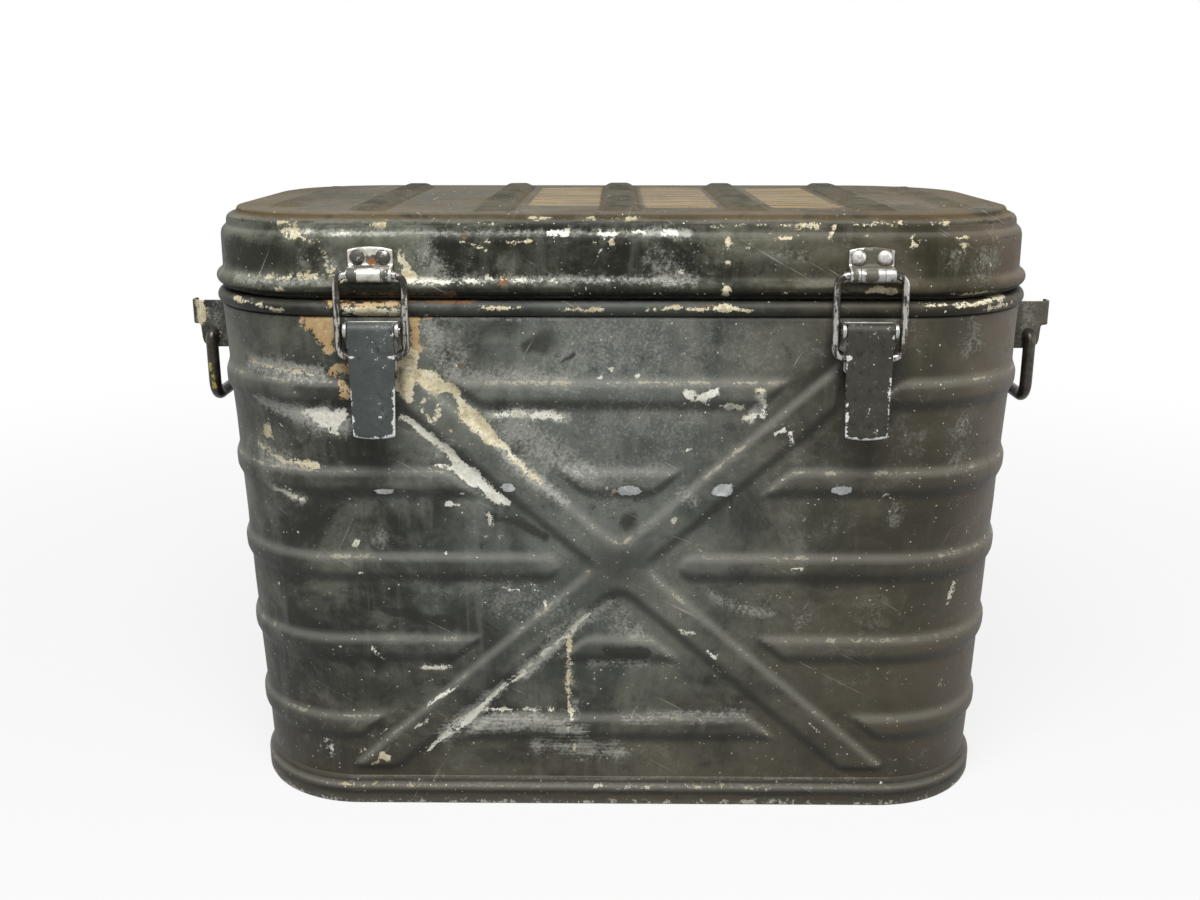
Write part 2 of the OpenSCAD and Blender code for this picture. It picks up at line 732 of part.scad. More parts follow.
module cover_grip(i) {
    end = grip_l / 2;
    knee = end - grip_foot;
    top = knee - grip_h / 2;
    slant = grip_t / 2;
    color(STEEL) at_pan(i) translate([0, 0, cover_z + cover_h]) rotate([90, 0, 90])
        linear_extrude(grip_w, center = true)
            polygon([[-end, 0], [-end, grip_t], [-knee, grip_t], [-top, grip_h], [top, grip_h],
                     [knee, grip_t], [end, grip_t], [end, 0], [knee - slant, 0],
                     [top - slant, grip_h - grip_t], [slant - top, grip_h - grip_t], [slant - knee, 0]]);
}

outer_shell();
base_band();
base_plate();
top_rim();
inner_tank();
body_insulation();
handle_bracket(LEFT);  // handle_bracket_left
handle_bracket(RIGHT);  // handle_bracket_right
handle_bracket_rivets();
latch_base(FRONT, LEFT);  // latch_base_front_left
latch_base(FRONT, RIGHT);  // latch_base_front_right
latch_base(BACK, LEFT);  // latch_base_back_left
latch_base(BACK, RIGHT);  // latch_base_back_right
latch_base_rivets();
latch_pins();
lid_shell();
lid_liner();
lid_insulation();
lid_gasket();
catch_plate(FRONT, LEFT);  // catch_front_left
catch_plate(FRONT, RIGHT);  // catch_front_right
catch_plate(BACK, LEFT);  // catch_back_left
catch_plate(BACK, RIGHT);  // catch_back_right
catch_rivets();
lever(FRONT, LEFT);  // lever_front_left
lever(FRONT, RIGHT);  // lever_front_right
lever(BACK, LEFT);  // lever_back_left
lever(BACK, RIGHT);  // lever_back_right
bail(FRONT, LEFT);  // bail_front_left
bail(FRONT, RIGHT);  // bail_front_right
bail(BACK, LEFT);  // bail_back_left
bail(BACK, RIGHT);  // bail_back_right
handle(LEFT);  // handle_left
handle(RIGHT);  // handle_right
pan(-1);  // pan_left
pan(0);  // pan_middle
pan(1);  // pan_right
pan_seal(-1);  // pan_seal_left
pan_seal(0);  // pan_seal_middle
pan_seal(1);  // pan_seal_right
pan_cover(-1);  // pan_cover_left
pan_cover(0);  // pan_cover_middle
pan_cover(1);  // pan_cover_right
cover_grip(-1);  // cover_grip_left
cover_grip(0);  // cover_grip_middle
cover_grip(1);  // cover_grip_right
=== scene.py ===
import math

import bmesh
import bpy
import numpy as np
from mathutils import Matrix, Vector


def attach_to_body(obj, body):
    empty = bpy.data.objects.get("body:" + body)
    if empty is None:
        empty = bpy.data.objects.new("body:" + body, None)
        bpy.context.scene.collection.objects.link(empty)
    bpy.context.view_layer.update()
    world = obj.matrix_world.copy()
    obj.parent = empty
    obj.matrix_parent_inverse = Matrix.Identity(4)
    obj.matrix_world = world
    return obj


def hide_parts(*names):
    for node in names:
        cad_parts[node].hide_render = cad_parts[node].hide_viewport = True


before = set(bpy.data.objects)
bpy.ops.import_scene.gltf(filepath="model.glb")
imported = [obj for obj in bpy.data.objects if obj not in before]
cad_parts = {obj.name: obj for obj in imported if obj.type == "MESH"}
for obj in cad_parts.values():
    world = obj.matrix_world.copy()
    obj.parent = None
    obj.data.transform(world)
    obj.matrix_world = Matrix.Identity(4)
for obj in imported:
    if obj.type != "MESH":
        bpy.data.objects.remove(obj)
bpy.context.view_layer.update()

# The view: the camera stands a metre in front of the can, a little above its lid, and looks
# slightly down on it.
view = bpy.data.cameras.new("view")
view.lens = 37.91
view.sensor_width = 36.0
view.clip_start = 0.01
view.clip_end = 50.0
viewer = bpy.data.objects.new("viewer", view)
bpy.context.collection.objects.link(viewer)
look = Matrix.Rotation(math.radians(0.623), 4, "Z") @ Matrix.Rotation(math.radians(90 - 15.46), 4, "X")
viewer.matrix_world = Matrix.Translation((-0.00436, -0.99625, 0.51248)) @ look
bpy.context.scene.camera = viewer
bpy.context.scene.view_settings.view_transform = "Standard"


# Outer shell: one can of pressed aluminium sheet with round corners, five ribs all round and a
# raised cross on the front and the back. Its dull olive paint is scuffed, chalky and chipped, and
# old cream paint shows where it has peeled. Light is painted into its colour as well: highlights on
# the upper flanks of the ribs and the cross, painted shade on their lower flanks and where the arms
# cross, and a painted sheen down the middle of the front.
MM = 0.001
can_length, can_depth, corner = 590.0, 320.0, 100.0
body_height = 383.5
rib_step = body_height / 6
cross_centre = 3 * rib_step
cross_slope = math.radians(41.7)


def ease(value, low, high):
    t = np.clip((value - low) / (high - low), 0.0, 1.0)
    return t * t * (3.0 - 2.0 * t)


def lattice(i, j, seed):
    mixed = np.sin(i * 127.1 + j * 311.7 + seed * 74.7) * 43758.5453
    return mixed - np.floor(mixed)


def mottle(x, y, size, seed, layers=3):
    """Soft blotches between 0 and 1, size millimetres across, with finer ones inside them."""
    total, weight, scale = 0.0, 0.0, 1.0
    for layer in range(layers):
        u, v = x / size * scale, y / size * scale
        i, j = np.floor(u), np.floor(v)
        a, b = ease(u - i, 0, 1), ease(v - j, 0, 1)
        s = seed + layer * 13
        low = lattice(i, j, s) * (1 - a) + lattice(i + 1, j, s) * a
        top = lattice(i, j + 1, s) * (1 - a) + lattice(i + 1, j + 1, s) * a
        total = total + (low * (1 - b) + top * b) / scale
        weight += 1 / scale
        scale *= 2
    return total / weight


def stations(run_step, end_step, turns):
    """Places round the outline, counter-clockwise: x, y and the direction outwards."""
    long_half, short_half = can_length / 2 - corner, can_depth / 2 - corner
    found = []
    for side in range(4):
        along, reach = ((long_half, can_depth / 2), (short_half, can_length / 2))[side % 2]
        step = (run_step, end_step)[side % 2]
        out = Vector(((0, -1), (1, 0), (0, 1), (-1, 0))[side])
        forward = Vector((-out.y, out.x))
        count = round(2 * along / step)
        for i in range(count):
            at = out * reach + forward * (-along + 2 * along * i / count)
            found.append((at.x, at.y, out.x, out.y))
        centre = out * (reach - corner) + forward * along
        start = math.atan2(out.y, out.x)
        for i in range(turns):
            turn = start + math.pi / 2 * i / turns
            n = Vector((math.cos(turn), math.sin(turn)))
            at = centre + n * corner
            found.append((at.x, at.y, n.x, n.y))
    return np.array(found)


def wall_inset(z):
    return 3.5 + (372.5 - z) * math.tan(math.radians(2.17))


def pressed(x, y, z, nx, ny):
    """How far the ribs and the cross stand out of the plain wall, from 0 to 1."""
    flat = ease(np.abs(ny), 0.995, 1.0) * (np.abs(x) < can_length / 2 - corner + 1)
    side = np.where(ny < 0, x, -x)
    lean = (z - cross_centre) * math.cos(cross_slope)
    first = np.abs(side * math.sin(cross_slope) - lean)
    second = np.abs(side * math.sin(cross_slope) + lean)
    share = np.clip(0.5 + 0.5 * (second - first) / 15.0, 0, 1)
    nearest = np.maximum(second + (first - second) * share - 15.0 * share * (1 - share), 0)
    rib = np.zeros_like(z)
    for i in range(1, 6):
        rib = np.maximum(rib, 1.0 - ease(np.abs(z - i * rib_step), 2.6, 13.2))
    rib = rib * (1.0 - flat * (1.0 - ease(nearest, 22.5, 29.5)))
    arm = 1.0 - ease(nearest, 6.4, 15.4)
    arm = arm * (1.0 - ease(z, 369, 372)) * ease(z, 27.0, 33.0) * flat
    arm = arm * (1.0 - ease(np.abs(x), 146.5, 150.5) * ease(z, cross_centre, cross_centre + 4))
    meeting = 1.0 - ease(np.maximum(first, second), 4.0, 22.0)
    arm = arm * (1.0 - 0.22 * meeting)
    return rib, arm


def solid(name, points, faces, smooth=True):
    mesh = bpy.data.meshes.new(name)
    mesh.from_pydata(points, [], faces)
    if smooth:
        mesh.shade_smooth()
    made = bpy.data.objects.new(name, mesh)
    bpy.context.collection.objects.link(made)
    return made


def closed_rings(name, rows):
    """A closed skin through rings of points. The last ring is joined to the first one."""
    count, width = len(rows), len(rows[0])
    points = np.concatenate(rows).reshape(-1, 3) * MM
    r, c = np.meshgrid(np.arange(count), np.arange(width), indexing="ij")
    nr, nc = (r + 1) % count, (c + 1) % width
    faces = np.stack([r * width + c, r * width + nc, nr * width + nc, nr * width + c], -1).reshape(-1, 4)
    return solid(name, points.tolist(), faces.tolist())


def stroke_strengths(marks, x, z, drift=5.0):
    """Strength of each kind of mark at the points. A mark is its kind, its strength and a line of
    stops, each x, z and half the width there. The soft whitish kind is partly painted sheen and the
    dark kind partly painted shade; the rest are worn and peeled paint and rust."""
    x = x + drift * (mottle(x, z, 14, 3) - 0.5)
    z = z + drift * (mottle(x, z, 14, 8) - 0.5)
    blot = 0.72 + 0.56 * mottle(x, z, 9, 21)
    found = {}
    for kind, strength, *stops in marks:
        stops = stops * 2 if len(stops) == 1 else stops
        for (x0, z0, half0), (x1, z1, half1) in zip(stops, stops[1:]):
            dx, dz = x1 - x0, z1 - z0
            name = kind
            if kind == "white" and math.hypot(dx, dz) > 7:
                angle = math.degrees(math.atan2(dz, dx)) % 180
                name = "white_down" if 115 < angle < 155 else "white_up" if 25 < angle < 65 else kind
            t = np.clip(((x - x0) * dx + (z - z0) * dz) / (dx * dx + dz * dz + 1e-6), 0, 1)
            half = (half0 + (half1 - half0) * t) * blot
            away = np.hypot(x - x0 - t * dx, z - z0 - t * dz)
            if kind in ("sheen_and_chalk", "dark"):
                mark = 1.0 - ease(away / half, 0.2, 1.6)
            else:
                mark = 1.0 - ease(away - half, -1.8, 2.2)
            found[name] = np.maximum(found.get(name, 0.0), strength * mark)
    return found


def attach(piece, name, values):
    """Keeps one number for each point of a piece, for its finish to read."""
    layer = piece.data.attributes.get(name) or piece.data.attributes.new(name, "FLOAT", "POINT")
    layer.data.foreach_set("value", np.asarray(values, dtype=np.float32))


class Socket:
    """A value in a node tree that adds, multiplies and compares like a number."""

    def __init__(self, net, out):
        self.net, self.out = net, out

    def also(self, name):
        return Socket(self.net, self.out.node.outputs[name])

    def sum(self, operation, first, second):
        return self.net.node("ShaderNodeMath", {"operation": operation}, {0: first, 1: second})

    def __add__(self, other):
        return self.sum("ADD", self, other)

    def __radd__(self, other):
        return self.sum("ADD", other, self)

    def __sub__(self, other):
        return self.sum("SUBTRACT", self, other)

    def __rsub__(self, other):
        return self.sum("SUBTRACT", other, self)

    def __mul__(self, other):
        return self.sum("MULTIPLY", self, other)

    def __rmul__(self, other):
        return self.sum("MULTIPLY", other, self)

    def __or__(self, other):
        return self.sum("MAXIMUM", self, other)

    def __and__(self, other):
        return self.sum("MINIMUM", self, other)

    def between(self, low, high):
        """0 below low, 1 above high and smooth between them."""
        return self.net.node("ShaderNodeMapRange", {"interpolation_type": "SMOOTHSTEP"},
                             {0: self, 1: low, 2: high, 3: 0.0, 4: 1.0})


class Net:
    """A node tree. node() adds any node: its type, its settings, then its sockets."""

    def __init__(self, tree):
        self.tree = tree

    def node(self, kind, settings=None, sockets=None, out=0):
        made = self.tree.nodes.new(kind)
        for key, value in (settings or {}).items():
            setattr(made, key, value)
        for key, value in (sockets or {}).items():
            self.plug(made.inputs[key], value)
        return Socket(self, made.outputs[out]) if len(made.outputs) else made

    def plug(self, socket, value):
        if isinstance(value, Socket):
            self.tree.links.new(value.out, socket)
        elif value is not None:
            colour = socket.type == "RGBA" and len(value) == 3
            socket.default_value = (*value, 1.0) if colour else value


class Finish(Net):
    """A material, with the few patterns that all of the can's finishes share."""

    def __init__(self, name):
        self.material = bpy.data.materials.new(name)
        self.material.use_nodes = True
        super().__init__(self.material.node_tree)
        self.shader = self.tree.nodes["Principled BSDF"]
        self.place = self.node("ShaderNodeTexCoord", out="Object")
        split = self.node("ShaderNodeSeparateXYZ", {}, {0: self.place})
        self.x, self.y, self.z = split, split.also("Y"), split.also("Z")

    def noise(self, scale, detail=4.0, rough=0.6, place=None, warp=0.0):
        return self.node("ShaderNodeTexNoise", {}, {"Vector": place or self.place, "Scale": scale,
                                                    "Detail": detail, "Roughness": rough, "Distortion": warp})

    def turned(self, scale, turn=(0.0, 0.0, 0.0)):
        """Place on turned axes, each with a scale of its own, for a pattern that runs one way."""
        return self.node("ShaderNodeMapping", {"vector_type": "TEXTURE"},
                         {"Vector": self.place, "Rotation": turn, "Scale": tuple(1.0 / v for v in scale)})

    def flecks(self, scale, share, size=0.30):
        """Small round flecks: share of the cells that have one, size against the cell."""
        bent = self.node("ShaderNodeVectorMath", {"operation": "MULTIPLY_ADD"},
                         {0: self.noise(scale * 2.0, 3.0, 0.7).also("Color"), 1: (0.9 / scale,) * 3, 2: self.place})
        cells = self.node("ShaderNodeTexVoronoi", {"feature": "F1"}, {"Vector": bent, "Scale": scale})
        pick = self.node("ShaderNodeSeparateColor", {}, {0: cells.also("Color")})
        reach = pick.also("Green") * size
        return (reach - cells).between(0.0, 0.05) * (share - pick).between(0.0, 0.01)

    def tint(self, amount, first, second):
        return self.node("ShaderNodeMix", {"data_type": "RGBA"}, {0: amount, 6: first, 7: second}, out=2)

    def mark(self, name):
        return self.node("ShaderNodeAttribute", {"attribute_name": name}, out="Fac")

    def bump(self, height, depth, strength=1.0, under=None):
        return self.node("ShaderNodeBump", {}, {"Strength": strength, "Distance": depth,
                                                "Height": height, "Normal": under})

    def done(self, colour, rough, metal=0.0, normal=None):
        for key, value in (("Base Color", colour), ("Roughness", rough), ("Metallic", metal),
                           ("Normal", normal)):
            self.plug(self.shader.inputs[key], value)
        return self.material


def old_paint(name, marked=False, dust=0.0, wear=0.5, top=False, tone=1.0, grime=0.0, gloss=0.30):
    """Dull olive paint on metal, with chalky bloom, brown dust, fine chips and old marks.
    Light is painted into the colour too: a pale sheen down the middle and up the wall (not on the
    lid), a brown sheen to the right with a painted reflection on the right front corner, and, on
    marked pieces, highlights on raised edges, painted shade under them and a whitish sheen.
    """
    coat = Finish(name)
    coat.shader.inputs["Specular IOR Level"].default_value = gloss
    cloud = coat.noise(6.0, 5.0, 0.6, warp=0.7)
    patch = coat.noise(19.0, 5.0, 0.66, warp=0.5)
    fine = coat.noise(75.0, 7.0, 0.74)
    grain = coat.noise(430.0, 5.0, 0.8)
    torn = fine * 0.6 + grain * 0.4
    smear = coat.noise(1.0, 5.0, 0.68, place=coat.turned((9.0, 9.0, 42.0), (0.0, 0.25, 0.0)), warp=0.5)
    hung = coat.noise(1.0, 4.0, 0.65, place=coat.turned((75.0, 75.0, 8.0)))

    def patchy(kind, spread=5.6):
        mark = coat.mark(kind)
        return (mark + (torn - 0.5) * spread).between(0.45, 0.55) & (mark * 6.0)

    blend = cloud * 0.32 + patch * 0.36 + fine * 0.18 + smear * 0.14
    colour = coat.tint(blend.between(0.44, 0.58), tuple(v * tone for v in (0.015, 0.016, 0.011)),
                       tuple(v * tone for v in (0.110, 0.114, 0.088)))
    # Painted sheen: a paler, cooler tone down the middle of the front, growing higher up the wall.
    middle = coat.node("ShaderNodeMath", {"operation": "ABSOLUTE"}, {0: coat.x + 0.01})
    centre_sheen = (0.22 - middle + (patch - 0.5) * 0.45).between(0.0, 0.22) * (coat.z - 0.02).between(0.0, 0.22)
    if not top:
        colour = coat.tint(centre_sheen * 0.60, colour, (0.168, 0.182, 0.162))
    colour = coat.tint(hung.between(0.52, 0.72) * 0.28, colour, (0.20, 0.20, 0.175))
    # Painted sheen: the right half turns browner, more so on the front, and the front's right corner gets a
    # pinkish-brown painted reflection.
    facing = (0.0 - coat.y + (patch - 0.5) * 0.08).between(0.02, 0.13)
    warm = (coat.x + (patch - 0.5) * 0.3).between(0.0, 0.26) * (facing * 0.56 + 0.28)
    colour = coat.tint(warm, colour, coat.tint(cloud.between(0.4, 0.6), (0.044, 0.037, 0.022), (0.100, 0.080, 0.052)))
    colour = coat.tint((coat.x + (patch - 0.5) * 0.04).between(0.215, 0.285) * facing * 0.45, colour, (0.205, 0.160, 0.125))
    low = (0.11 - coat.z + (patch - 0.5) * 0.13).between(0.0, 0.11) * 0.5 + dust
    colour = coat.tint(low & 0.8, colour, (0.086, 0.070, 0.046))
    shade = (coat.x - 0.02).between(0.0, 0.14) * (0.21 - coat.z + (patch - 0.5) * 0.2).between(0.0, 0.13)
    colour = coat.tint(shade * facing * 0.42, colour, (0.030, 0.026, 0.017))
    chalk = (torn + (patch - 0.5) * 0.35 + centre_sheen * 0.03).between(0.545, 0.64)
    colour = coat.tint(chalk * 0.24, colour, (0.32, 0.32, 0.275))
    colour = coat.tint((1.0 - torn + (smear - 0.5) * 0.3).between(0.56, 0.66) * 0.6, colour, (0.013, 0.013, 0.010))
    if grime:
        colour = coat.tint(grime, colour, (0.011, 0.011, 0.008))
    rough = 0.36 + fine * 0.3
    metal = 0.0
    if top:
        on_top = coat.z.between(0.4335, 0.4385)
        colour = coat.tint(on_top * (0.55 + 0.4 * cloud.between(0.35, 0.65)), colour, (0.098, 0.064, 0.027))
        colour = coat.tint(on_top * patch.between(0.50, 0.60) * 0.85, colour, (0.034, 0.030, 0.021))
        colour = coat.tint(on_top * smear.between(0.55, 0.66) * 0.5, colour, (0.165, 0.142, 0.094))
        rib = coat.mark("high") * on_top
        colour = coat.tint(rib * 0.8, colour, coat.tint(patch.between(0.42, 0.58), (0.026, 0.026, 0.017),
                                                        (0.088, 0.079, 0.056)))
        sandy = (coat.mark("tan") + (torn - 0.5) * 3.2).between(0.38, 0.52)
        worn = coat.noise(1.0, 4.0, 0.7, place=coat.turned((14.0, 90.0, 14.0)))
        colour = coat.tint(sandy * 0.92, colour, coat.tint(worn.between(0.42, 0.58), (0.190, 0.125, 0.055),
                                                           (0.345, 0.255, 0.130)))
        rough = rough + on_top * 0.25
    if marked:
        # Painted light on raised parts: high lightens the raised faces a little, crest paints a highlight along upper
        # flanks, creases and bead edges (on the foot band's edges partly real rubbing), and under paints shade on lower
        # flanks, where the cross's arms meet and under the lid's bead.
        crest = coat.mark("crest")
        colour = coat.tint(coat.mark("high") * 0.07, colour, (0.150, 0.152, 0.130))
        colour = coat.tint(crest * 0.56, colour, coat.tint(warm, (0.20, 0.20, 0.175), (0.165, 0.148, 0.118)))
        colour = coat.tint(coat.mark("under") * 0.45, colour, (0.018, 0.018, 0.013))
        # Whitish veil from the soft whitish marks: partly chalky bloom of the paint, partly a painted sheen and
        # reflection, such as the painted highlight along the lid's shoulder ridge.
        sheen_and_chalk = coat.mark("sheen_and_chalk")
        brushed = coat.noise(1.0, 4.0, 0.7, place=coat.turned((330.0, 330.0, 36.0), (0.0, 0.45, 0.0)), warp=0.3)
        level = coat.noise(1.0, 4.0, 0.7, place=coat.turned((24.0, 24.0, 430.0)), warp=0.3)
        veil = sheen_and_chalk * 0.9 + (torn - 0.5) * 2.2 + (grain - 0.5) * 1.5 + (brushed - 0.5) * 0.6
        veil = veil + (level - 0.5) * (0.092 - coat.z).between(0.0, 0.03) * 2.0
        colour = coat.tint(veil.between(0.10, 1.0) * 0.85 & (sheen_and_chalk * 2.5), colour, (0.42, 0.42, 0.375))
        # Dark marks: partly dirt, partly painted shade in the seams, in the shoulder steps and in dents.
        dirt_and_shade = coat.mark("dark") + (torn - 0.5) * 2.0 + (patch - 0.5) * 1.0
        colour = coat.tint(dirt_and_shade.between(0.25, 0.85) * 0.85 & (coat.mark("dark") * 4.0), colour, (0.014, 0.014, 0.010))
        dragged = [coat.noise(1.0, 5.0, 0.72, place=coat.turned((45.0, 45.0, 480.0), (0.0, turn, 0.0)))
                   for turn in (cross_slope, -cross_slope)]
        down, up = [(coat.mark(kind) + (drag - 0.5) * 1.6 + (torn - 0.5) * 4.2).between(0.45, 0.56)
                    & (coat.mark(kind) * 6.0) for kind, drag in (("white_down", dragged[0]), ("white_up", dragged[1]))]
        white = patchy("white") | down | up
        cream = patchy("cream")
        colour = coat.tint(patchy("rust", 5.0) * 0.85, colour, (0.165, 0.080, 0.034))
        sand = patchy("sand")
        colour = coat.tint(sand * 0.92, colour, coat.tint(fine.between(0.42, 0.60), (0.52, 0.34, 0.155),
                                                          (0.60, 0.47, 0.27)))
        colour = coat.tint(cream * 0.94, colour, coat.tint(fine.between(0.42, 0.58), (0.80, 0.75, 0.58),
                                                           (0.60, 0.52, 0.34)))
        colour = coat.tint(white * 0.96, colour, coat.tint(fine.between(0.40, 0.58), (0.92, 0.91, 0.83),
                                                           (0.72, 0.70, 0.58)))
        bitten = (crest * 0.25 + torn * 0.9).between(0.675, 0.715) * patch.between(0.47, 0.56)
        colour = coat.tint(bitten * 0.6, colour, (0.50, 0.46, 0.34))
        bare = (coat.mark("bare") + (torn - 0.5) * 3.2).between(0.55, 0.66)
        ring = (coat.mark("bare") + (torn - 0.5) * 3.2).between(0.16, 0.30) - bare
        colour = coat.tint(ring * 0.40, colour, (0.020, 0.020, 0.016))
        colour = coat.tint(bare, colour, coat.tint(fine.between(0.4, 0.6), (0.62, 0.64, 0.62), (0.36, 0.38, 0.38)))
        metal = bare * 0.35
        rough = rough + (white | cream) * 0.2 - bare * 0.15
    where = patch.between(0.44, 0.60)
    bits = coat.noise(150.0, 8.0, 0.78).between(0.645, 0.665) | grain.between(0.675, 0.70) * 0.8
    chips = bits * (where * 0.8 + 0.2) * wear | coat.flecks(150.0, 0.06 * wear, 0.20) | coat.flecks(420.0, 0.10 * wear)
    colour = coat.tint(chips & 1.0, colour, coat.tint(cloud.between(0.44, 0.56), (0.64, 0.63, 0.57),
                                                      (0.46, 0.385, 0.26)))
    lines = coat.noise(1.0, 3.0, 0.6, place=coat.turned((10.0, 10.0, 300.0), (0.0, 0.5, 0.0)), warp=0.5)
    cuts = coat.noise(1.0, 3.0, 0.6, place=coat.turned((12.0, 12.0, 280.0), (0.0, -1.1, 0.0)), warp=0.5)
    scratched = (lines.between(0.68, 0.71) | cuts.between(0.69, 0.72)) * where
    colour = coat.tint(scratched * 0.6, colour, (0.36, 0.35, 0.30))
    normal = coat.bump(fine * 0.55 + grain * 0.45, 0.0011, 0.6)
    normal = coat.bump(chips, -0.0003, 0.6, under=normal)
    return coat.done(colour, rough, metal, normal)
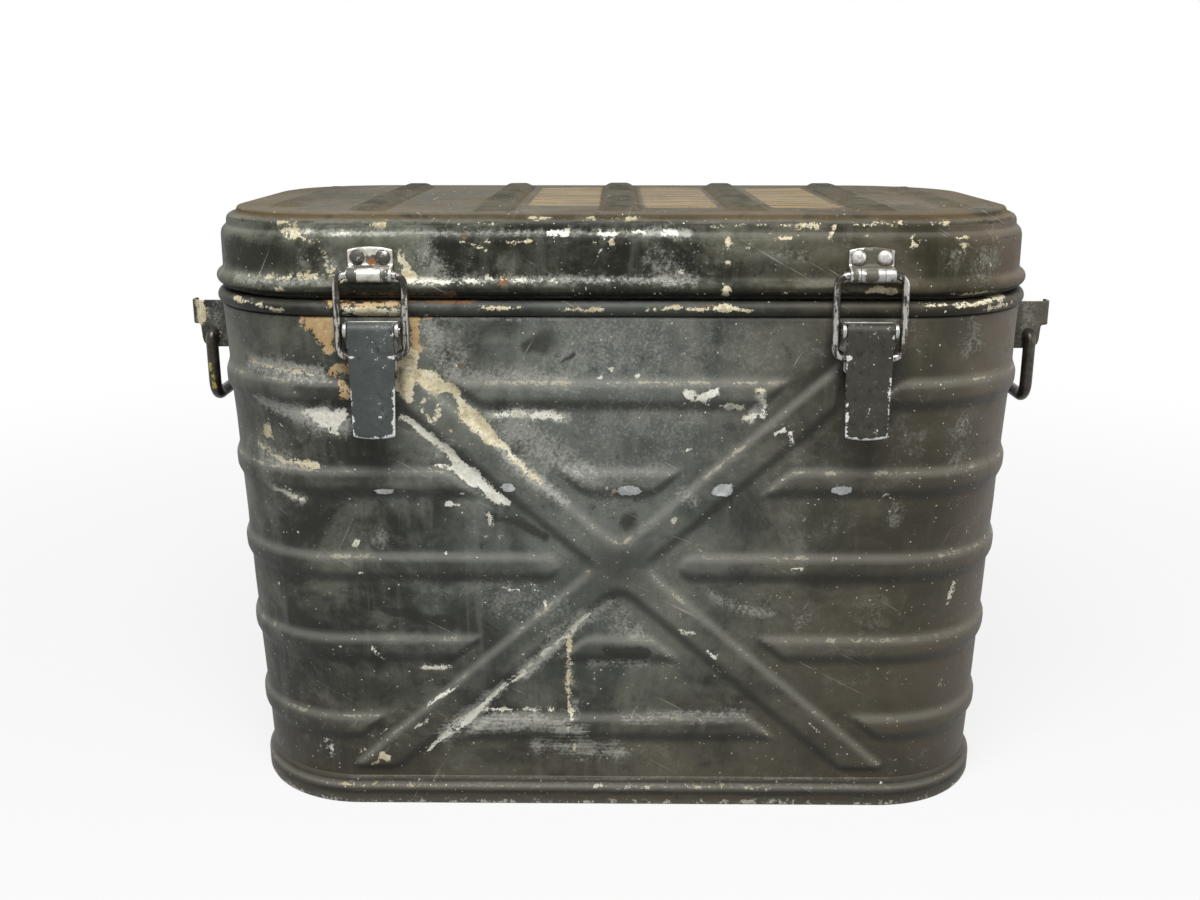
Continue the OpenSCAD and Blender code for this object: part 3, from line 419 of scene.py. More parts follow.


# Marks on the shell's front, x and z in millimetres. Cream, sand, white and rust are worn and peeled paint and rust;
# the soft whitish strokes are partly chalky bloom and partly painted sheen; the dark ones are partly dirt and partly
# painted shade in dents.
front_strokes = [
    ("sand", 1.0, (-203, 375, 13), (-200, 364, 10), (-197, 352, 4)),
    ("sand", 0.8, (-196, 333, 3), (-190, 338, 3), (-184, 336, 4)), ("sand", 0.75, (-190, 327, 3), (-187, 319, 4)),
    ("sand", 1.0, (-140, 374, 4), (-128, 375, 4), (-118, 375, 2)), ("sand", 1.0, (-138, 372, 3.5), (-138, 352, 3.5), (-142, 345, 6)),
    ("cream", 0.85, (-141, 345, 6), (-145, 335, 6.5), (-146, 325, 6.5), (-144, 316, 3.5)),
    ("cream", 0.95, (-137, 333, 3), (-130, 329, 5.5), (-124, 325, 5), (-114, 321, 2.2), (-108, 313, 3), (-103, 304, 5),
     (-97, 297, 5.5), (-92, 290, 4.5), (-86, 284, 3), (-79, 280, 2.6), (-72, 273, 1.8), (-62, 262, 1.2), (-55, 255, 0.8)),
    ("sheen_and_chalk", 0.75, (-82, 280, 6), (-56, 256, 6), (-38, 240, 5)),
    ("cream", 0.8, (-125, 312, 1.2), (-124, 306, 2.8), (-129, 300, 1.8), (-135, 305, 1.2), (-136, 312, 1), (-131, 318, 1)),
    ("white", 1.0, (-150, 303, 1), (-142, 299, 1.8), (-133, 291, 2.2), (-125, 283, 2.4), (-118, 277, 2.5), (-112, 270, 3),
     (-107, 262, 5), (-101, 256, 5.5), (-94, 251, 4.5), (-86, 245, 3.5), (-78, 241, 1.5)),
    ("white", 0.9, (-134, 266, 1), (-118, 266, 1.2), (-110, 264, 3)),
    ("sheen_and_chalk", 0.9, (-256, 312, 3), (-232, 307, 5), (-205, 303, 10), (-190, 296, 9)),
    ("white", 0.8, (-216, 306, 3), (-205, 304, 6), (-196, 298, 6), (-190, 305, 4)), ("white", 0.6, (-196, 291, 4)),
    ("cream", 0.62, (-262, 338, 1.4), (-245, 335, 1.4), (-225, 333, 2.2), (-207, 332, 1.8)), ("sheen_and_chalk", 0.8, (-258, 336, 6), (-205, 333, 6)),
    ("cream", 0.7, (-258, 277, 1.6), (-245, 271, 1.5), (-228, 268, 1.8), (-212, 268, 2.8), (-207, 265, 1.2)),
    ("sheen_and_chalk", 0.6, (-262, 275, 9), (-232, 268, 6)), ("cream", 0.55, (-247, 296, 2.5), (-248, 285, 3)),
    ("sheen_and_chalk", 0.55, (-128, 366, 9), (-118, 350, 13), (-112, 337, 12)), ("sheen_and_chalk", 0.45, (-104, 334, 5), (-38, 332, 5)),
    ("sheen_and_chalk", 0.85, (-88, 305, 5), (-60, 304, 5), (-36, 302, 4)), ("sheen_and_chalk", 0.5, (-125, 374, 3), (-40, 374, 4)),
    ("white", 0.85, (-84, 305, 2.5), (-66, 305, 2)), ("white", 0.85, (-60, 303, 2.5), (-50, 304, 3), (-38, 302, 1.5)),
    ("sheen_and_chalk", 0.55, (-72, 292, 14), (-45, 274, 13), (-22, 262, 9)), ("sheen_and_chalk", 0.3, (-30, 345, 30), (20, 350, 22)),
    ("white", 0.9, (-246, 247, 1), (-232, 243, 1.3), (-224, 241, 1)), ("white", 0.75, (-243, 258, 0.8), (-231, 246, 1)),
    ("sheen_and_chalk", 0.6, (-252, 250, 4), (-225, 241, 4)), ("white", 1.0, (-186, 209, 2)), ("sheen_and_chalk", 0.4, (-172, 214, 7)),
    ("white", 0.9, (-121, 240, 1.5), (-115, 239, 1)), ("white", 0.7, (-91, 232, 1), (-90, 222, 1)), ("white", 1.0, (-84, 214, 1.2)),
    ("sheen_and_chalk", 0.55, (-125, 276, 5), (-118, 284, 5)), ("white", 1.0, (-109, 338, 0.8)), ("rust", 0.9, (-107, 339, 2)),
    ("dark", 0.8, (-90, 230, 5), (-72, 226, 6), (-52, 214, 5)), ("dark", 0.6, (-236, 298, 6), (-228, 290, 5)),
    ("dark", 0.5, (-252, 365, 9), (-248, 350, 7)), ("dark", 0.5, (-215, 360, 5), (-214, 345, 5)), ("dark", 0.55, (-262, 300, 6), (-264, 225, 7)),
    ("dark", 0.7, (-50, 356, 12), (-62, 352, 7)), ("dark", 0.9, (-30, 346, 1.5), (-40, 342, 1)),
    ("white", 1.0, (47, 319, 3.6)), ("white", 1.0, (55, 317, 2.6), (64, 321, 2.8)), ("white", 0.9, (59, 313, 1), (61, 308, 0.8)),
    ("white", 0.9, (70, 311, 0.8), (83, 311, 0.8)), ("cream", 1.0, (96, 324, 2.6)),
    ("sheen_and_chalk", 0.95, (96, 320, 3), (97, 311, 5), (90, 303, 4)), ("white", 0.7, (97, 317, 1.5), (100, 304, 2.5), (86, 302, 1.5)),
    ("white", 1.0, (106, 292, 1), (112, 296, 1.5)), ("white", 1.0, (117, 293, 1.8), (118, 286, 1)), ("white", 0.95, (48, 281, 1)),
    ("sheen_and_chalk", 0.45, (45, 247, 5), (52, 242, 4)), ("sheen_and_chalk", 0.22, (-8, 256, 20), (22, 276, 16)), ("sheen_and_chalk", 0.14, (40, 350, 24), (88, 352, 18)),
    ("dark", 0.85, (8, 227, 9)), ("white", 1.0, (-6, 335, 1.2)), ("white", 0.95, (12, 333, 1)), ("white", 0.9, (-14, 331, 1.2)),
    ("white", 0.95, (39, 229, 0.8)), ("white", 0.95, (55, 229, 1)), ("white", 0.9, (185, 248, 0.8), (190, 244, 0.8)),
    ("white", 0.95, (211, 240, 0.9)), ("white", 0.95, (151, 200, 0.9)), ("sheen_and_chalk", 0.2, (-10, 300, 30), (40, 300, 22)),
    ("sheen_and_chalk", 0.35, (238, 372, 5), (240, 352, 8)), ("sheen_and_chalk", 0.28, (240, 305, 7), (236, 268, 8)), ("sheen_and_chalk", 0.3, (195, 240, 5), (193, 228, 5)),
    ("dark", 0.4, (196, 348, 7), (185, 300, 5)), ("dark", 0.5, (222, 356, 2.5)), ("dark", 0.5, (240, 222, 2), (228, 220, 2)),
    ("white", 0.7, (-20, 156, 1.2), (-31, 146, 2.0), (-44, 133, 1.8)), ("white", 0.72, (-50, 128, 1.4), (-62, 117, 1.2), (-75, 104, 2.0), (-92, 89, 1.8)),
    ("white", 0.78, (-95, 86, 2.0), (-105, 77, 3.0), (-118, 66, 4.2), (-128, 57, 3.0), (-138, 49, 1.6), (-147, 41, 0.8)), ("sheen_and_chalk", 0.95, (-84, 98, 5), (-128, 58, 7)),
    ("sheen_and_chalk", 0.95, (-24, 154, 5), (-70, 108, 6)), ("cream", 0.85, (-35, 142, 1.2), (-36, 110, 1.1), (-37, 80, 1.3)),
    ("cream", 1.0, (-36, 76, 3), (-34, 70, 2.6)), ("cream", 0.75, (-37, 64, 1.5), (-33, 45, 1.2)), ("sheen_and_chalk", 0.5, (-36, 120, 3), (-30, 40, 7)),
    ("white", 0.85, (-118, 98, 1), (-130, 90, 1.4), (-141, 82, 1)), ("white", 0.7, (-140, 72, 0.9), (-150, 64, 0.9)),
    ("white", 0.7, (-170, 62, 1), (-176, 58, 0.9)), ("white", 0.75, (-100, 78, 0.8), (-60, 77, 0.8), (-40, 76, 1.6)),
    ("sheen_and_chalk", 0.75, (-108, 66, 8), (-62, 68, 7), (-30, 62, 7)), ("sheen_and_chalk", 0.6, (-62, 47, 6), (0, 44, 7)), ("sheen_and_chalk", 0.4, (5, 74, 5), (90, 74, 5)),
    ("white", 0.85, (-218, 52, 0.9), (-216, 42, 1.4), (-214, 35, 0.9)), ("white", 0.75, (-197, 40, 0.9), (-190, 43, 1.2)),
    ("cream", 1.0, (-176, 41, 3), (-172, 39, 2.4)), ("cream", 0.8, (-186, 31, 0.8), (-178, 36, 0.9)),
    ("white", 1.0, (-184, 187, 1.6)), ("white", 0.9, (-83, 176, 0.9), (-72, 175, 0.9)), ("white", 0.95, (-53, 163, 1.2)),
    ("white", 0.95, (-229, 166, 1)), ("white", 0.8, (-178, 129, 0.9), (-170, 120, 1.2)), ("white", 0.8, (-143, 113, 0.9), (-125, 113, 0.8)),
    ("white", 0.9, (64, 128, 0.9), (70, 122, 1.3)), ("white", 0.8, (42, 143, 0.9), (56, 141, 0.9)), ("white", 0.8, (70, 115, 0.7), (76, 109, 0.7)),
    ("white", 0.95, (141, 69, 0.9), (148, 62, 1)), ("sheen_and_chalk", 0.5, (64, 172, 3), (90, 160, 5), (112, 154, 3)), ("sheen_and_chalk", 0.35, (132, 152, 7)),
    ("white", 0.9, (122, 193, 0.8), (129, 193, 0.8)), ("white", 0.8, (245, 178, 0.7), (240, 158, 0.7)), ("white", 0.85, (240, 96, 1), (240, 92, 0.9)),
    ("sheen_and_chalk", 0.6, (-6, 165, 4), (-28, 150, 7), (-45, 140, 6)), ("sheen_and_chalk", 0.5, (0, 150, 11), (16, 140, 7)), ("sheen_and_chalk", 0.28, (-85, 168, 18), (-42, 160, 10)),
    ("sheen_and_chalk", 0.45, (-20, 116, 4), (20, 116, 4)), ("dark", 0.95, (-8, 127, 6), (18, 125, 6)), ("dark", 0.85, (-170, 158, 3), (-150, 152, 6), (-122, 147, 7)),
    ("dark", 0.7, (-100, 150, 2.5), (-88, 142, 2.5)), ("dark", 0.75, (-33, 92, 6)), ("dark", 0.35, (20, 88, 14), (62, 82, 10)),
    ("dark", 0.5, (-152, 96, 15), (-195, 92, 18)), ("dark", 0.6, (-100, 40, 9), (-62, 34, 6)), ("dark", 0.6, (-215, 100, 8), (-205, 88, 7)),
    ("dark", 0.8, (86, 175, 1.2)), 
    ("cream", 0.9, (-4, 250, 1.2)), ("cream", 0.8, (-10, 252, 1.2)),
]
bare_ovals = [(-165, 249, 7.5, 0.34), (-78, 252, 5.5, 0.6), (7, 250, 8.6, 0.48), (72, 250, 7.2, 0.62), (154.5, 250.5, 7.4, 0.45),
              (74, 253, 5.0, 0.5), (-110, 247, 1.4, 0.9)]


def make_shell():
    x0, y0, nx, ny = stations(2.0, 10.0, 38).T
    heights = np.concatenate([np.linspace(2.0, 22.0, 6), np.arange(24.3, 371.0, 2.3), [372.4]])
    rows, ribs, arms = [], [], []
    for z in heights:
        zs = np.full_like(x0, z)
        rib, arm = pressed(x0, y0, zs, nx, ny)
        calm = float(ease(z, 20, 60) * (1 - ease(z, 335, 362)))
        wave = (mottle(x0 + 900, y0 * 1.3 + zs, 70, 5) - 0.5) * 2.6 + (mottle(x0 + 900, zs + y0, 24, 9) - 0.5) * 0.9
        rib = rib * (0.93 + 0.14 * mottle(x0 + 700, zs * 0.2 + y0, 40, 17))
        out = 3.1 * np.maximum(rib, arm) - wall_inset(z) + wave * calm * 0.55 - 0.1
        rows.append(np.stack([x0 + nx * out, y0 + ny * out, zs], -1))
        ribs.append(rib)
        arms.append(arm)
    for z in (372.4, 250.0, 120.0, 2.0):
        inset = wall_inset(z) + 1.5
        rows.append(np.stack([x0 - nx * inset, y0 - ny * inset, np.full_like(x0, z)], -1))
        ribs.append(np.zeros_like(x0))
        arms.append(np.zeros_like(x0))
    shell = closed_rings("ribbed_shell", rows)
    x, y, z = np.concatenate(rows).T
    front = np.where(y < -100, 1.0, 0.0)
    for kind, strength in stroke_strengths(front_strokes, x, z).items():
        attach(shell, kind, strength * front)
    oval = np.zeros_like(x)
    for ox, oz, half, flat in bare_ovals:
        away = np.hypot((x - ox) / half, (z - oz) / (half * flat))
        oval = np.maximum(oval, 1.0 - ease(away, 0.65, 1.45))
    attach(shell, "bare", oval * front)
    # How far each point stands out (high), a painted highlight on the upper flanks (crest), and painted shade on the
    # lower flanks and round the middle of the cross (under).
    high = np.maximum(np.stack(ribs), np.stack(arms))
    rising = np.vstack([high[1:], high[:1]]) - np.vstack([high[:1], high[:-1]])
    attach(shell, "high", high.ravel())
    attach(shell, "crest", (4 * high * (1 - high) * (rising < 0)).ravel())
    crossing_shade = np.exp(-((x + 2.0) ** 2 + (z - 191.0) ** 2) / 21.0 ** 2) * front
    attach(shell, "under", np.clip(np.clip(rising * 2.2, 0, 1).ravel() + crossing_shade * 1.5, 0, 1.6))
    return shell


shell = make_shell()
shell.data.materials.append(old_paint("shell_paint", marked=True, wear=1.0))
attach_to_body(shell, "container")
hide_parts("outer_shell")


# Foot band: a heavier aluminium band welded round the bottom. It stands out below a sloped ledge
# where brown dust settles, and its edges are rubbed bare in places.
def ring_band(name, rows, rubbed, strokes=(), wobble=0.1):
    """A closed ring of sheet. rubbed gives the heights of the lighter lines along the ring, and how
    much: some are rubbed paint, some a painted highlight.
    """
    x0, y0, nx, ny = stations(3.0, 6.0, 40).T
    made = []
    for inset, z in rows:
        shift = inset + wobble * (mottle(x0 + 600, y0 + z, 30, 31) - 0.5) * 2
        made.append(np.stack([x0 - nx * shift, y0 - ny * shift, np.full_like(x0, z)], -1))
    ring = closed_rings(name, made)
    x, y, z = np.concatenate(made).T
    outer = np.repeat([inset < 17.0 for inset, _ in rows], len(x0))
    crest = sum(amount * np.exp(-((z - height) / spread) ** 2) for height, spread, amount in rubbed)
    attach(ring, "crest", np.clip(crest, 0, 1) * outer)
    for kind, strength in stroke_strengths(strokes, x, z, 1.5).items():
        attach(ring, kind, strength * (y < -100))
    return ring


band = ring_band("foot_band", [
    (33.5, 0.0), (14.0, 0.0), (13.0, 0.4), (12.5, 1.4), (12.45, 6.0), (12.45, 9.2), (12.45, 10.8), (12.45, 12.4), (12.6, 13.8), (13.2, 14.9),
    (14.2, 15.9), (15.2, 18.1), (16.2, 20.3), (16.7, 21.5), (17.6, 21.5), (17.9, 12.0), (18.1, 1.8), (33.5, 1.8)],
    rubbed=[(1.0, 1.5, 0.8), (14.5, 1.6, 0.9)],
    strokes=[("cream", 0.5, (-230, 15, 0.4), (-150, 15, 0.4)), ("cream", 0.45, (40, 15, 0.4), (120, 14, 0.4)),
             ("rust", 0.35, (-60, 8, 2), (30, 7, 2)), ("sheen_and_chalk", 0.08, (-200, 18, 4), (200, 18, 4)),
             ("dark", 0.8, (-290, 18.1, 1.6), (290, 18.1, 1.6)),
             ("dark", 0.9, (-300, 10, 1.8), (300, 10, 1.8)), ("white", 0.5, (-290, 1.6, 0.7), (290, 1.6, 0.7)), ("white", 0.5, (-20, 14.5, 0.5), (25, 14.5, 0.5))])
band.data.materials.append(old_paint("band_paint", marked=True, dust=0.40, wear=1.1, tone=0.8, grime=0.26))
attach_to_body(band, "container")
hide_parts("base_band")


# Top rim: the shell's upper edge is rolled outwards into a bead, and a flat flange runs inwards
# to the inner tank. The lid's seal presses on that flange.
def round_bead(inset, z, radius, first, last, count):
    """Points on a bead from one angle to the other, where 0 points outwards and 90 up."""
    turns = [math.radians(first + (last - first) * i / count) for i in range(count + 1)]
    return [(inset - radius * math.cos(t), z + radius * math.sin(t)) for t in turns]


rim = ring_band("rolled_rim", round_bead(6.0, 378.0, 5.45, -96, 84, 18)
                + [(9.0, 383.45), (11.6, 383.5), (11.6, 366.8), (5.9, 366.8)],
                # The lighter lines along the bead are a painted highlight.
                rubbed=[(380.5, 1.0, 0.25), (374.5, 1.0, 0.15)],
                strokes=[("cream", 0.75, (-92, 379, 0.9), (-67, 379, 0.9)), ("cream", 0.6, (-40, 378, 0.8), (-12, 378, 0.8)),
                         ("cream", 0.7, (18, 378, 0.8), (40, 379, 0.8), (58, 378, 1.2), (70, 379, 2.4), (86, 377, 0.8)),
                         ("rust", 0.6, (48, 380, 1.5), (62, 380, 1.5)), ("cream", 0.9, (205, 381, 0.9), (235, 381, 0.9)),
                         ("cream", 0.95, (225, 379, 1), (240, 381, 1), (262, 383, 2)), ("cream", 0.85, (248, 376, 1.5), (270, 378, 2)),
                         ("cream", 0.8, (-268, 381, 1), (-245, 379, 1.5), (-228, 376, 1)), ("sand", 0.8, (-196, 381, 1.5), (-140, 381, 1.5)),
                         ("cream", 0.75, (-185, 377, 3), (-150, 376, 3)), ("rust", 0.8, (-200, 383, 1.2), (-95, 383, 1.2)),
                         # The dark line along z 384 is painted shade in the gap under the lid.
                         ("dark", 0.8, (-300, 384, 2), (300, 384, 2)), ("sheen_and_chalk", 0.5, (-188, 377, 5), (-148, 377, 5)),
                         ("cream", 0.8, (-150, 372.5, 0.8), (-120, 372.5, 0.8))])
rim.data.materials.append(old_paint("rim_paint", marked=True, wear=1.1, tone=0.5, grime=0.5, gloss=0.16))
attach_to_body(rim, "container")
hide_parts("top_rim")


# Lid shell: one lid of pressed aluminium with a rolled lower bead, an upright wall and two round
# shoulders up to a flat top, which ribs from front to back make stiff. The top is brown with dust,
# and sandy paint is left between some of the ribs. Light is painted into the front as well:
# highlights along the bead, the shoulder creases and the ridge, and painted shade under the bead,
# in the shoulder steps and on the left corner.
lid_ribs = [(0.0, 15.0, 124.0), (-87.0, 15.0, 124.0), (87.0, 15.0, 124.0), (-174.0, 15.0, 122.0),
            (174.0, 15.0, 122.0), (-236.0, 13.0, 88.0), (236.0, 13.0, 88.0)]
lid_side = round_bead(6.0, 391.7, 5.45, -84, 64, 16) + [
    (5.0, 397.6), (5.3, 399.6), (5.31, 402.0), (5.32, 404.4), (5.33, 406.8), (5.35, 409.2), (5.36, 411.6),
    (5.37, 414.0), (5.39, 416.4), (5.4, 418.4), (5.42, 420.6), (5.6, 422.4), (6.4, 424.8), (7.8, 426.6),
    (9.2, 427.7), (9.75, 429.0), (9.85, 431.4), (10.3, 433.2), (11.6, 434.8), (13.6, 435.9),
    (15.8, 436.5), (17.0, 437.2), (17.5, 438.6), (17.9, 439.7), (18.7, 440.3), (19.6, 440.45)]


def lid_rise(x, y):
    high = np.zeros_like(x)
    for centre, half, reach in lid_ribs:
        across = 1.0 - ease(np.abs(x - centre), half * 0.42, half)
        along = 1.0 - ease(np.abs(y), reach, reach + 9.0)
        high = np.maximum(high, (3.4 if abs(centre) < 200 else 2.6) * across * along)
    return high


def make_lid():
    inset = lid_side[-1][0]
    half_x, half_y, radius = can_length / 2 - inset, can_depth / 2 - inset, corner - inset
    flat_x, flat_y = half_x - radius, half_y - radius
    arc = [flat_x + radius * math.sin(math.pi / 2 * i / 26) for i in range(1, 27)]
    xs = np.array([-a for a in reversed(arc)] + list(np.linspace(-flat_x, flat_x, 171)) + arc)
    outside = np.clip(np.abs(xs) - flat_x, 0, radius)
    ys = flat_y + np.sqrt(np.maximum(radius ** 2 - outside ** 2, 0))
    u = np.linspace(-1, 1, 101)
    u = np.sign(u) * (1 - (1 - np.abs(u)) ** 1.25)
    gx = np.repeat(xs[:, None], len(u), 1)
    gy = ys[:, None] * u[None, :]
    edge = ease(np.minimum(half_y - np.abs(gy), half_x - np.abs(gx)), 0, 14)
    sag = (mottle(gx + 500, gy + 500, 60, 41) - 0.62) * 1.6
    gz = 440.45 + lid_rise(gx, gy) * 0.985 + sag * edge
    points = np.stack([gx, gy, gz], -1).reshape(-1, 3)
    index = np.arange(gx.size).reshape(gx.shape)
    faces = np.stack([index[:-1, :-1], index[1:, :-1], index[1:, 1:], index[:-1, 1:]], -1).reshape(-1, 4).tolist()
    ring = list(index[:, 0]) + list(index[-1, 1:]) + list(index[-2::-1, -1]) + list(index[0, -2:0:-1])
    at = points[ring]
    out = at[:, :2] - np.stack([np.clip(at[:, 0], -flat_x, flat_x), np.clip(at[:, 1], -flat_y, flat_y)], -1)
    out /= np.maximum(np.linalg.norm(out, axis=1, keepdims=True), 1e-9)
    layers, total = [points], len(points)
    for shift_in, z in lid_side[-2::-1] + [(5.4, 385.9), (5.4, 385.3), (7.0, 385.3), (7.0, 391.0)]:
        dent = (mottle(at[:, 0] + 800, at[:, 1] + z, 45, 51) - 0.5) * (0.9 if 398 < z < 424 else 0.1)
        shift = (inset - shift_in - dent)[:, None]
        layers.append(np.concatenate([at[:, :2] + out * shift, np.full((len(at), 1), z)], 1))
        current = list(range(total, total + len(at)))
        total += len(at)
        for i in range(len(at)):
            j = (i + 1) % len(at)
            faces.append([ring[j], ring[i], current[i], current[j]])
        ring = current
    points = np.concatenate(layers)
    return solid("ribbed_lid", (points * MM).tolist(), faces), points


# Marks on the lid's front, x and z in millimetres. Cream, white and rust are worn and peeled paint and rust. The soft
# whitish strokes along the bead and the shoulder ridge near z 428 are a painted highlight and reflection, elsewhere
# partly chalky bloom. The long dark lines at z 388 and 391 are painted shade on and under the lower half of the bead,
# those at 423.5 and 434 painted shade in the shoulder steps, and the big dark patch on the left corner is painted shade
# too.
lid_front_strokes = [
    ("cream", 0.55, (-262, 398, 1.2), (-240, 398, 1.4), (-222, 399, 1.8), (-198, 400, 2.6)), ("sheen_and_chalk", 0.55, (-265, 396, 4), (-200, 398, 5)),
    ("cream", 0.55, (-200, 418, 1.5), (-196, 412, 3), (-193, 404, 4), (-187, 399, 4)), ("sheen_and_chalk", 0.5, (-194, 410, 5), (-190, 402, 6)),
    ("cream", 0.85, (-147, 414, 2.2), (-143, 405, 3.2), (-139, 399, 3.5)), ("white", 0.5, (-140, 397, 1.6), (-118, 396, 1.2), (-95, 397, 1.4)),
    ("white", 0.42, (-92, 399, 1.6), (-70, 397.5, 1.2), (-40, 397, 0.8)), ("white", 0.3, (-10, 397, 0.9), (22, 397, 0.8)),
    ("sheen_and_chalk", 0.6, (-150, 397.5, 2.6), (-60, 398, 2.6), (30, 397.5, 2.6)), ("dark", 0.95, (-300, 388, 1.8), (300, 388, 1.8)), ("sheen_and_chalk", 0.6, (30, 396, 4), (48, 398, 6)), ("rust", 0.9, (-78, 397, 3)),
    ("sheen_and_chalk", 0.8, (-224, 429, 2), (-190, 428, 2.2), (-150, 427.5, 1.4)), ("white", 0.5, (-210, 428.5, 1.2), (-180, 428, 1.2)),
    ("sheen_and_chalk", 0.55, (-150, 428, 1.6), (20, 428, 1.6)), ("cream", 0.7, (-224, 428, 2.5), (-214, 428, 2.5)),
    ("cream", 0.74, (-107, 433, 0.7), (-101, 431, 0.8)), ("rust", 1.0, (-104, 428, 1.8), (-103, 425, 1.6)),
    ("cream", 0.95, (-105, 423, 1), (-97, 421, 1.4), (-89, 417, 0.8)), ("cream", 0.67, (-95, 432.5, 0.7), (-82, 432.5, 0.7)),
    ("cream", 0.67, (-74, 432.5, 0.7), (-62, 432.5, 0.7)), ("cream", 0.85, (-90, 422.5, 0.7), (-60, 422.5, 0.7)),
    ("cream", 0.8, (-224, 424, 1), (-200, 423.5, 0.8)), ("cream", 0.50, (-60, 437, 0.9), (-48, 437, 0.8)), ("cream", 0.46, (-22, 437, 0.8), (10, 437, 0.8)),
    ("cream", 0.55, (-165, 433, 0.8), (-150, 433, 0.8)), ("cream", 0.52, (-232, 434, 0.8), (-214, 434, 0.7)),
    ("white", 0.95, (-48, 428, 1.6), (-36, 427.5, 1.5)), ("white", 0.9, (-14, 427, 1.6), (-4, 427, 1.4)), ("white", 1.0, (28, 428, 2), (36, 428, 2)),
    ("sheen_and_chalk", 0.95, (18, 428, 3.5), (45, 428, 3)), ("white", 0.85, (8, 428.5, 1), (16, 428.5, 1)), ("cream", 0.85, (-7, 423, 0.9), (-6, 420, 1)),
    ("white", 1.0, (-15, 416.5, 0.9)), ("cream", 1.0, (-18, 422.5, 0.9)), ("cream", 1.0, (71, 423, 1.8), (71, 420, 1.4)),
    ("cream", 1.0, (72, 409, 1.6)), ("cream", 1.0, (70, 390.5, 2.6)), ("cream", 0.95, (109, 389.5, 1.2)), ("cream", 0.8, (114, 389.5, 0.7)),
    ("white", 0.9, (85, 419, 0.7)), ("cream", 0.67, (78, 433, 0.7), (112, 433, 0.7)), ("cream", 0.70, (118, 432.5, 0.9), (130, 432.5, 1.3)),
    ("cream", 0.59, (60, 432.5, 0.7), (76, 432.5, 0.9)), ("cream", 0.85, (139, 424, 0.9), (142, 433, 0.9)), ("cream", 0.85, (104, 424.5, 0.7), (112, 424.5, 0.7)),
    ("cream", 0.67, (154, 434, 0.8), (170, 434, 1.2), (176, 434, 0.8)), ("cream", 0.63, (180, 434, 0.8), (190, 434, 0.8)),
    ("cream", 0.63, (205, 434.5, 0.8), (219, 434.5, 0.9)), ("cream", 0.9, (193, 421, 1.6)), ("cream", 0.8, (192, 425, 0.8)),
    ("cream", 1.0, (229, 420, 0.8), (226, 414, 1)), ("cream", 0.9, (164, 426.5, 0.8)), ("cream", 0.9, (223, 424, 0.9), (229, 424, 0.8)),
    ("cream", 0.95, (164, 390, 0.9), (170, 392, 1.8), (182, 391, 1.5)), ("cream", 0.8, (225, 387.5, 0.8), (255, 388, 0.8)),
    ("sheen_and_chalk", 0.38, (25, 405, 9), (42, 402, 9)), ("white", 0.6, (41, 403, 1.5)), ("sheen_and_chalk", 0.25, (28, 414, 7)), ("sheen_and_chalk", 0.3, (105, 411, 8), (120, 410, 8)),
    ("sheen_and_chalk", 0.5, (-128, 412, 9), (-118, 405, 8)), ("sheen_and_chalk", 0.4, (250, 415, 9), (246, 404, 10)), ("sheen_and_chalk", 0.3, (222, 412, 8)),
    ("sheen_and_chalk", 0.35, (-212, 410, 8)), ("dark", 0.8, (-268, 412, 13), (-222, 411, 13)), ("dark", 0.5, (-60, 413, 12), (0, 412, 12)),
    ("dark", 0.5, (85, 405, 9), (150, 405, 9)), ("dark", 0.7, (-300, 434, 1.2), (300, 434, 1.2)), ("dark", 0.5, (-300, 423.5, 1.2), (300, 423.5, 1.2)),
    ("dark", 0.6, (-230, 391, 2.5), (150, 391, 2.5)), ("cream", 0.85, (-230, 391, 1.4), (-226, 390, 1)), ("rust", 0.7, (-190, 388, 1.2), (-110, 388, 1.2)),
]
sandy_patches = [(-40, 15, 28, 95, 1.0), (43, 5, 28, 103, 1.0), (130, 2, 27, 104, 0.9)]
lid, lid_points = make_lid()
lx, ly, lz = lid_points.T
lid_front = np.where((ly < -100) & (lz < 438), 1.0, 0.0)
for kind, strength in stroke_strengths(lid_front_strokes, lx, lz, 1.5).items():
    attach(lid, kind, strength * lid_front)
sandy = np.zeros_like(lx)
for px, py, half_w, half_l, strength in sandy_patches:
    sandy = np.maximum(sandy, strength * (1 - ease(np.abs(lx - px), half_w * 0.8, half_w))
                       * (1 - ease(np.abs(ly - py), half_l, half_l + 6)))
lid_high = lid_rise(lx, ly) / 3.4 * (lz > 438)
attach(lid, "tan", sandy * (lz > 438))
attach(lid, "high", lid_high)
# Painted shade under the lid's lower bead (under), and a painted highlight along the shoulder creases and on the flanks
# of the top's ribs (crest).
attach(lid, "under", 1.0 - ease(lz, 386.8, 389.5))
crease = np.exp(-((lz - 439.9) / 1.0) ** 2) + np.exp(-((lz - 435.2) / 0.9) ** 2) + 0.8 * np.exp(-((lz - 427.2) / 1.0) ** 2)
attach(lid, "crest", np.clip(1.2 * lid_high * (1 - lid_high) + 0.7 * crease * (lid_high < 0.05), 0, 1))
lid.data.materials.append(old_paint("lid_paint", marked=True, wear=1.1, top=True, tone=1.2, gloss=0.08))
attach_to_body(lid, "lid")
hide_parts("lid_shell")


# Catches: four steel plates riveted to the lid's wall. The lower end of each is rolled round the
# bail's wire, in three lengths. Handling has worn them bright, with rust between the rivets.
latch_x = 166.0
knuckle_y, knuckle_z = -162.3, 401.3
bail_foot_y, bail_foot_z = -164.2, 346.533


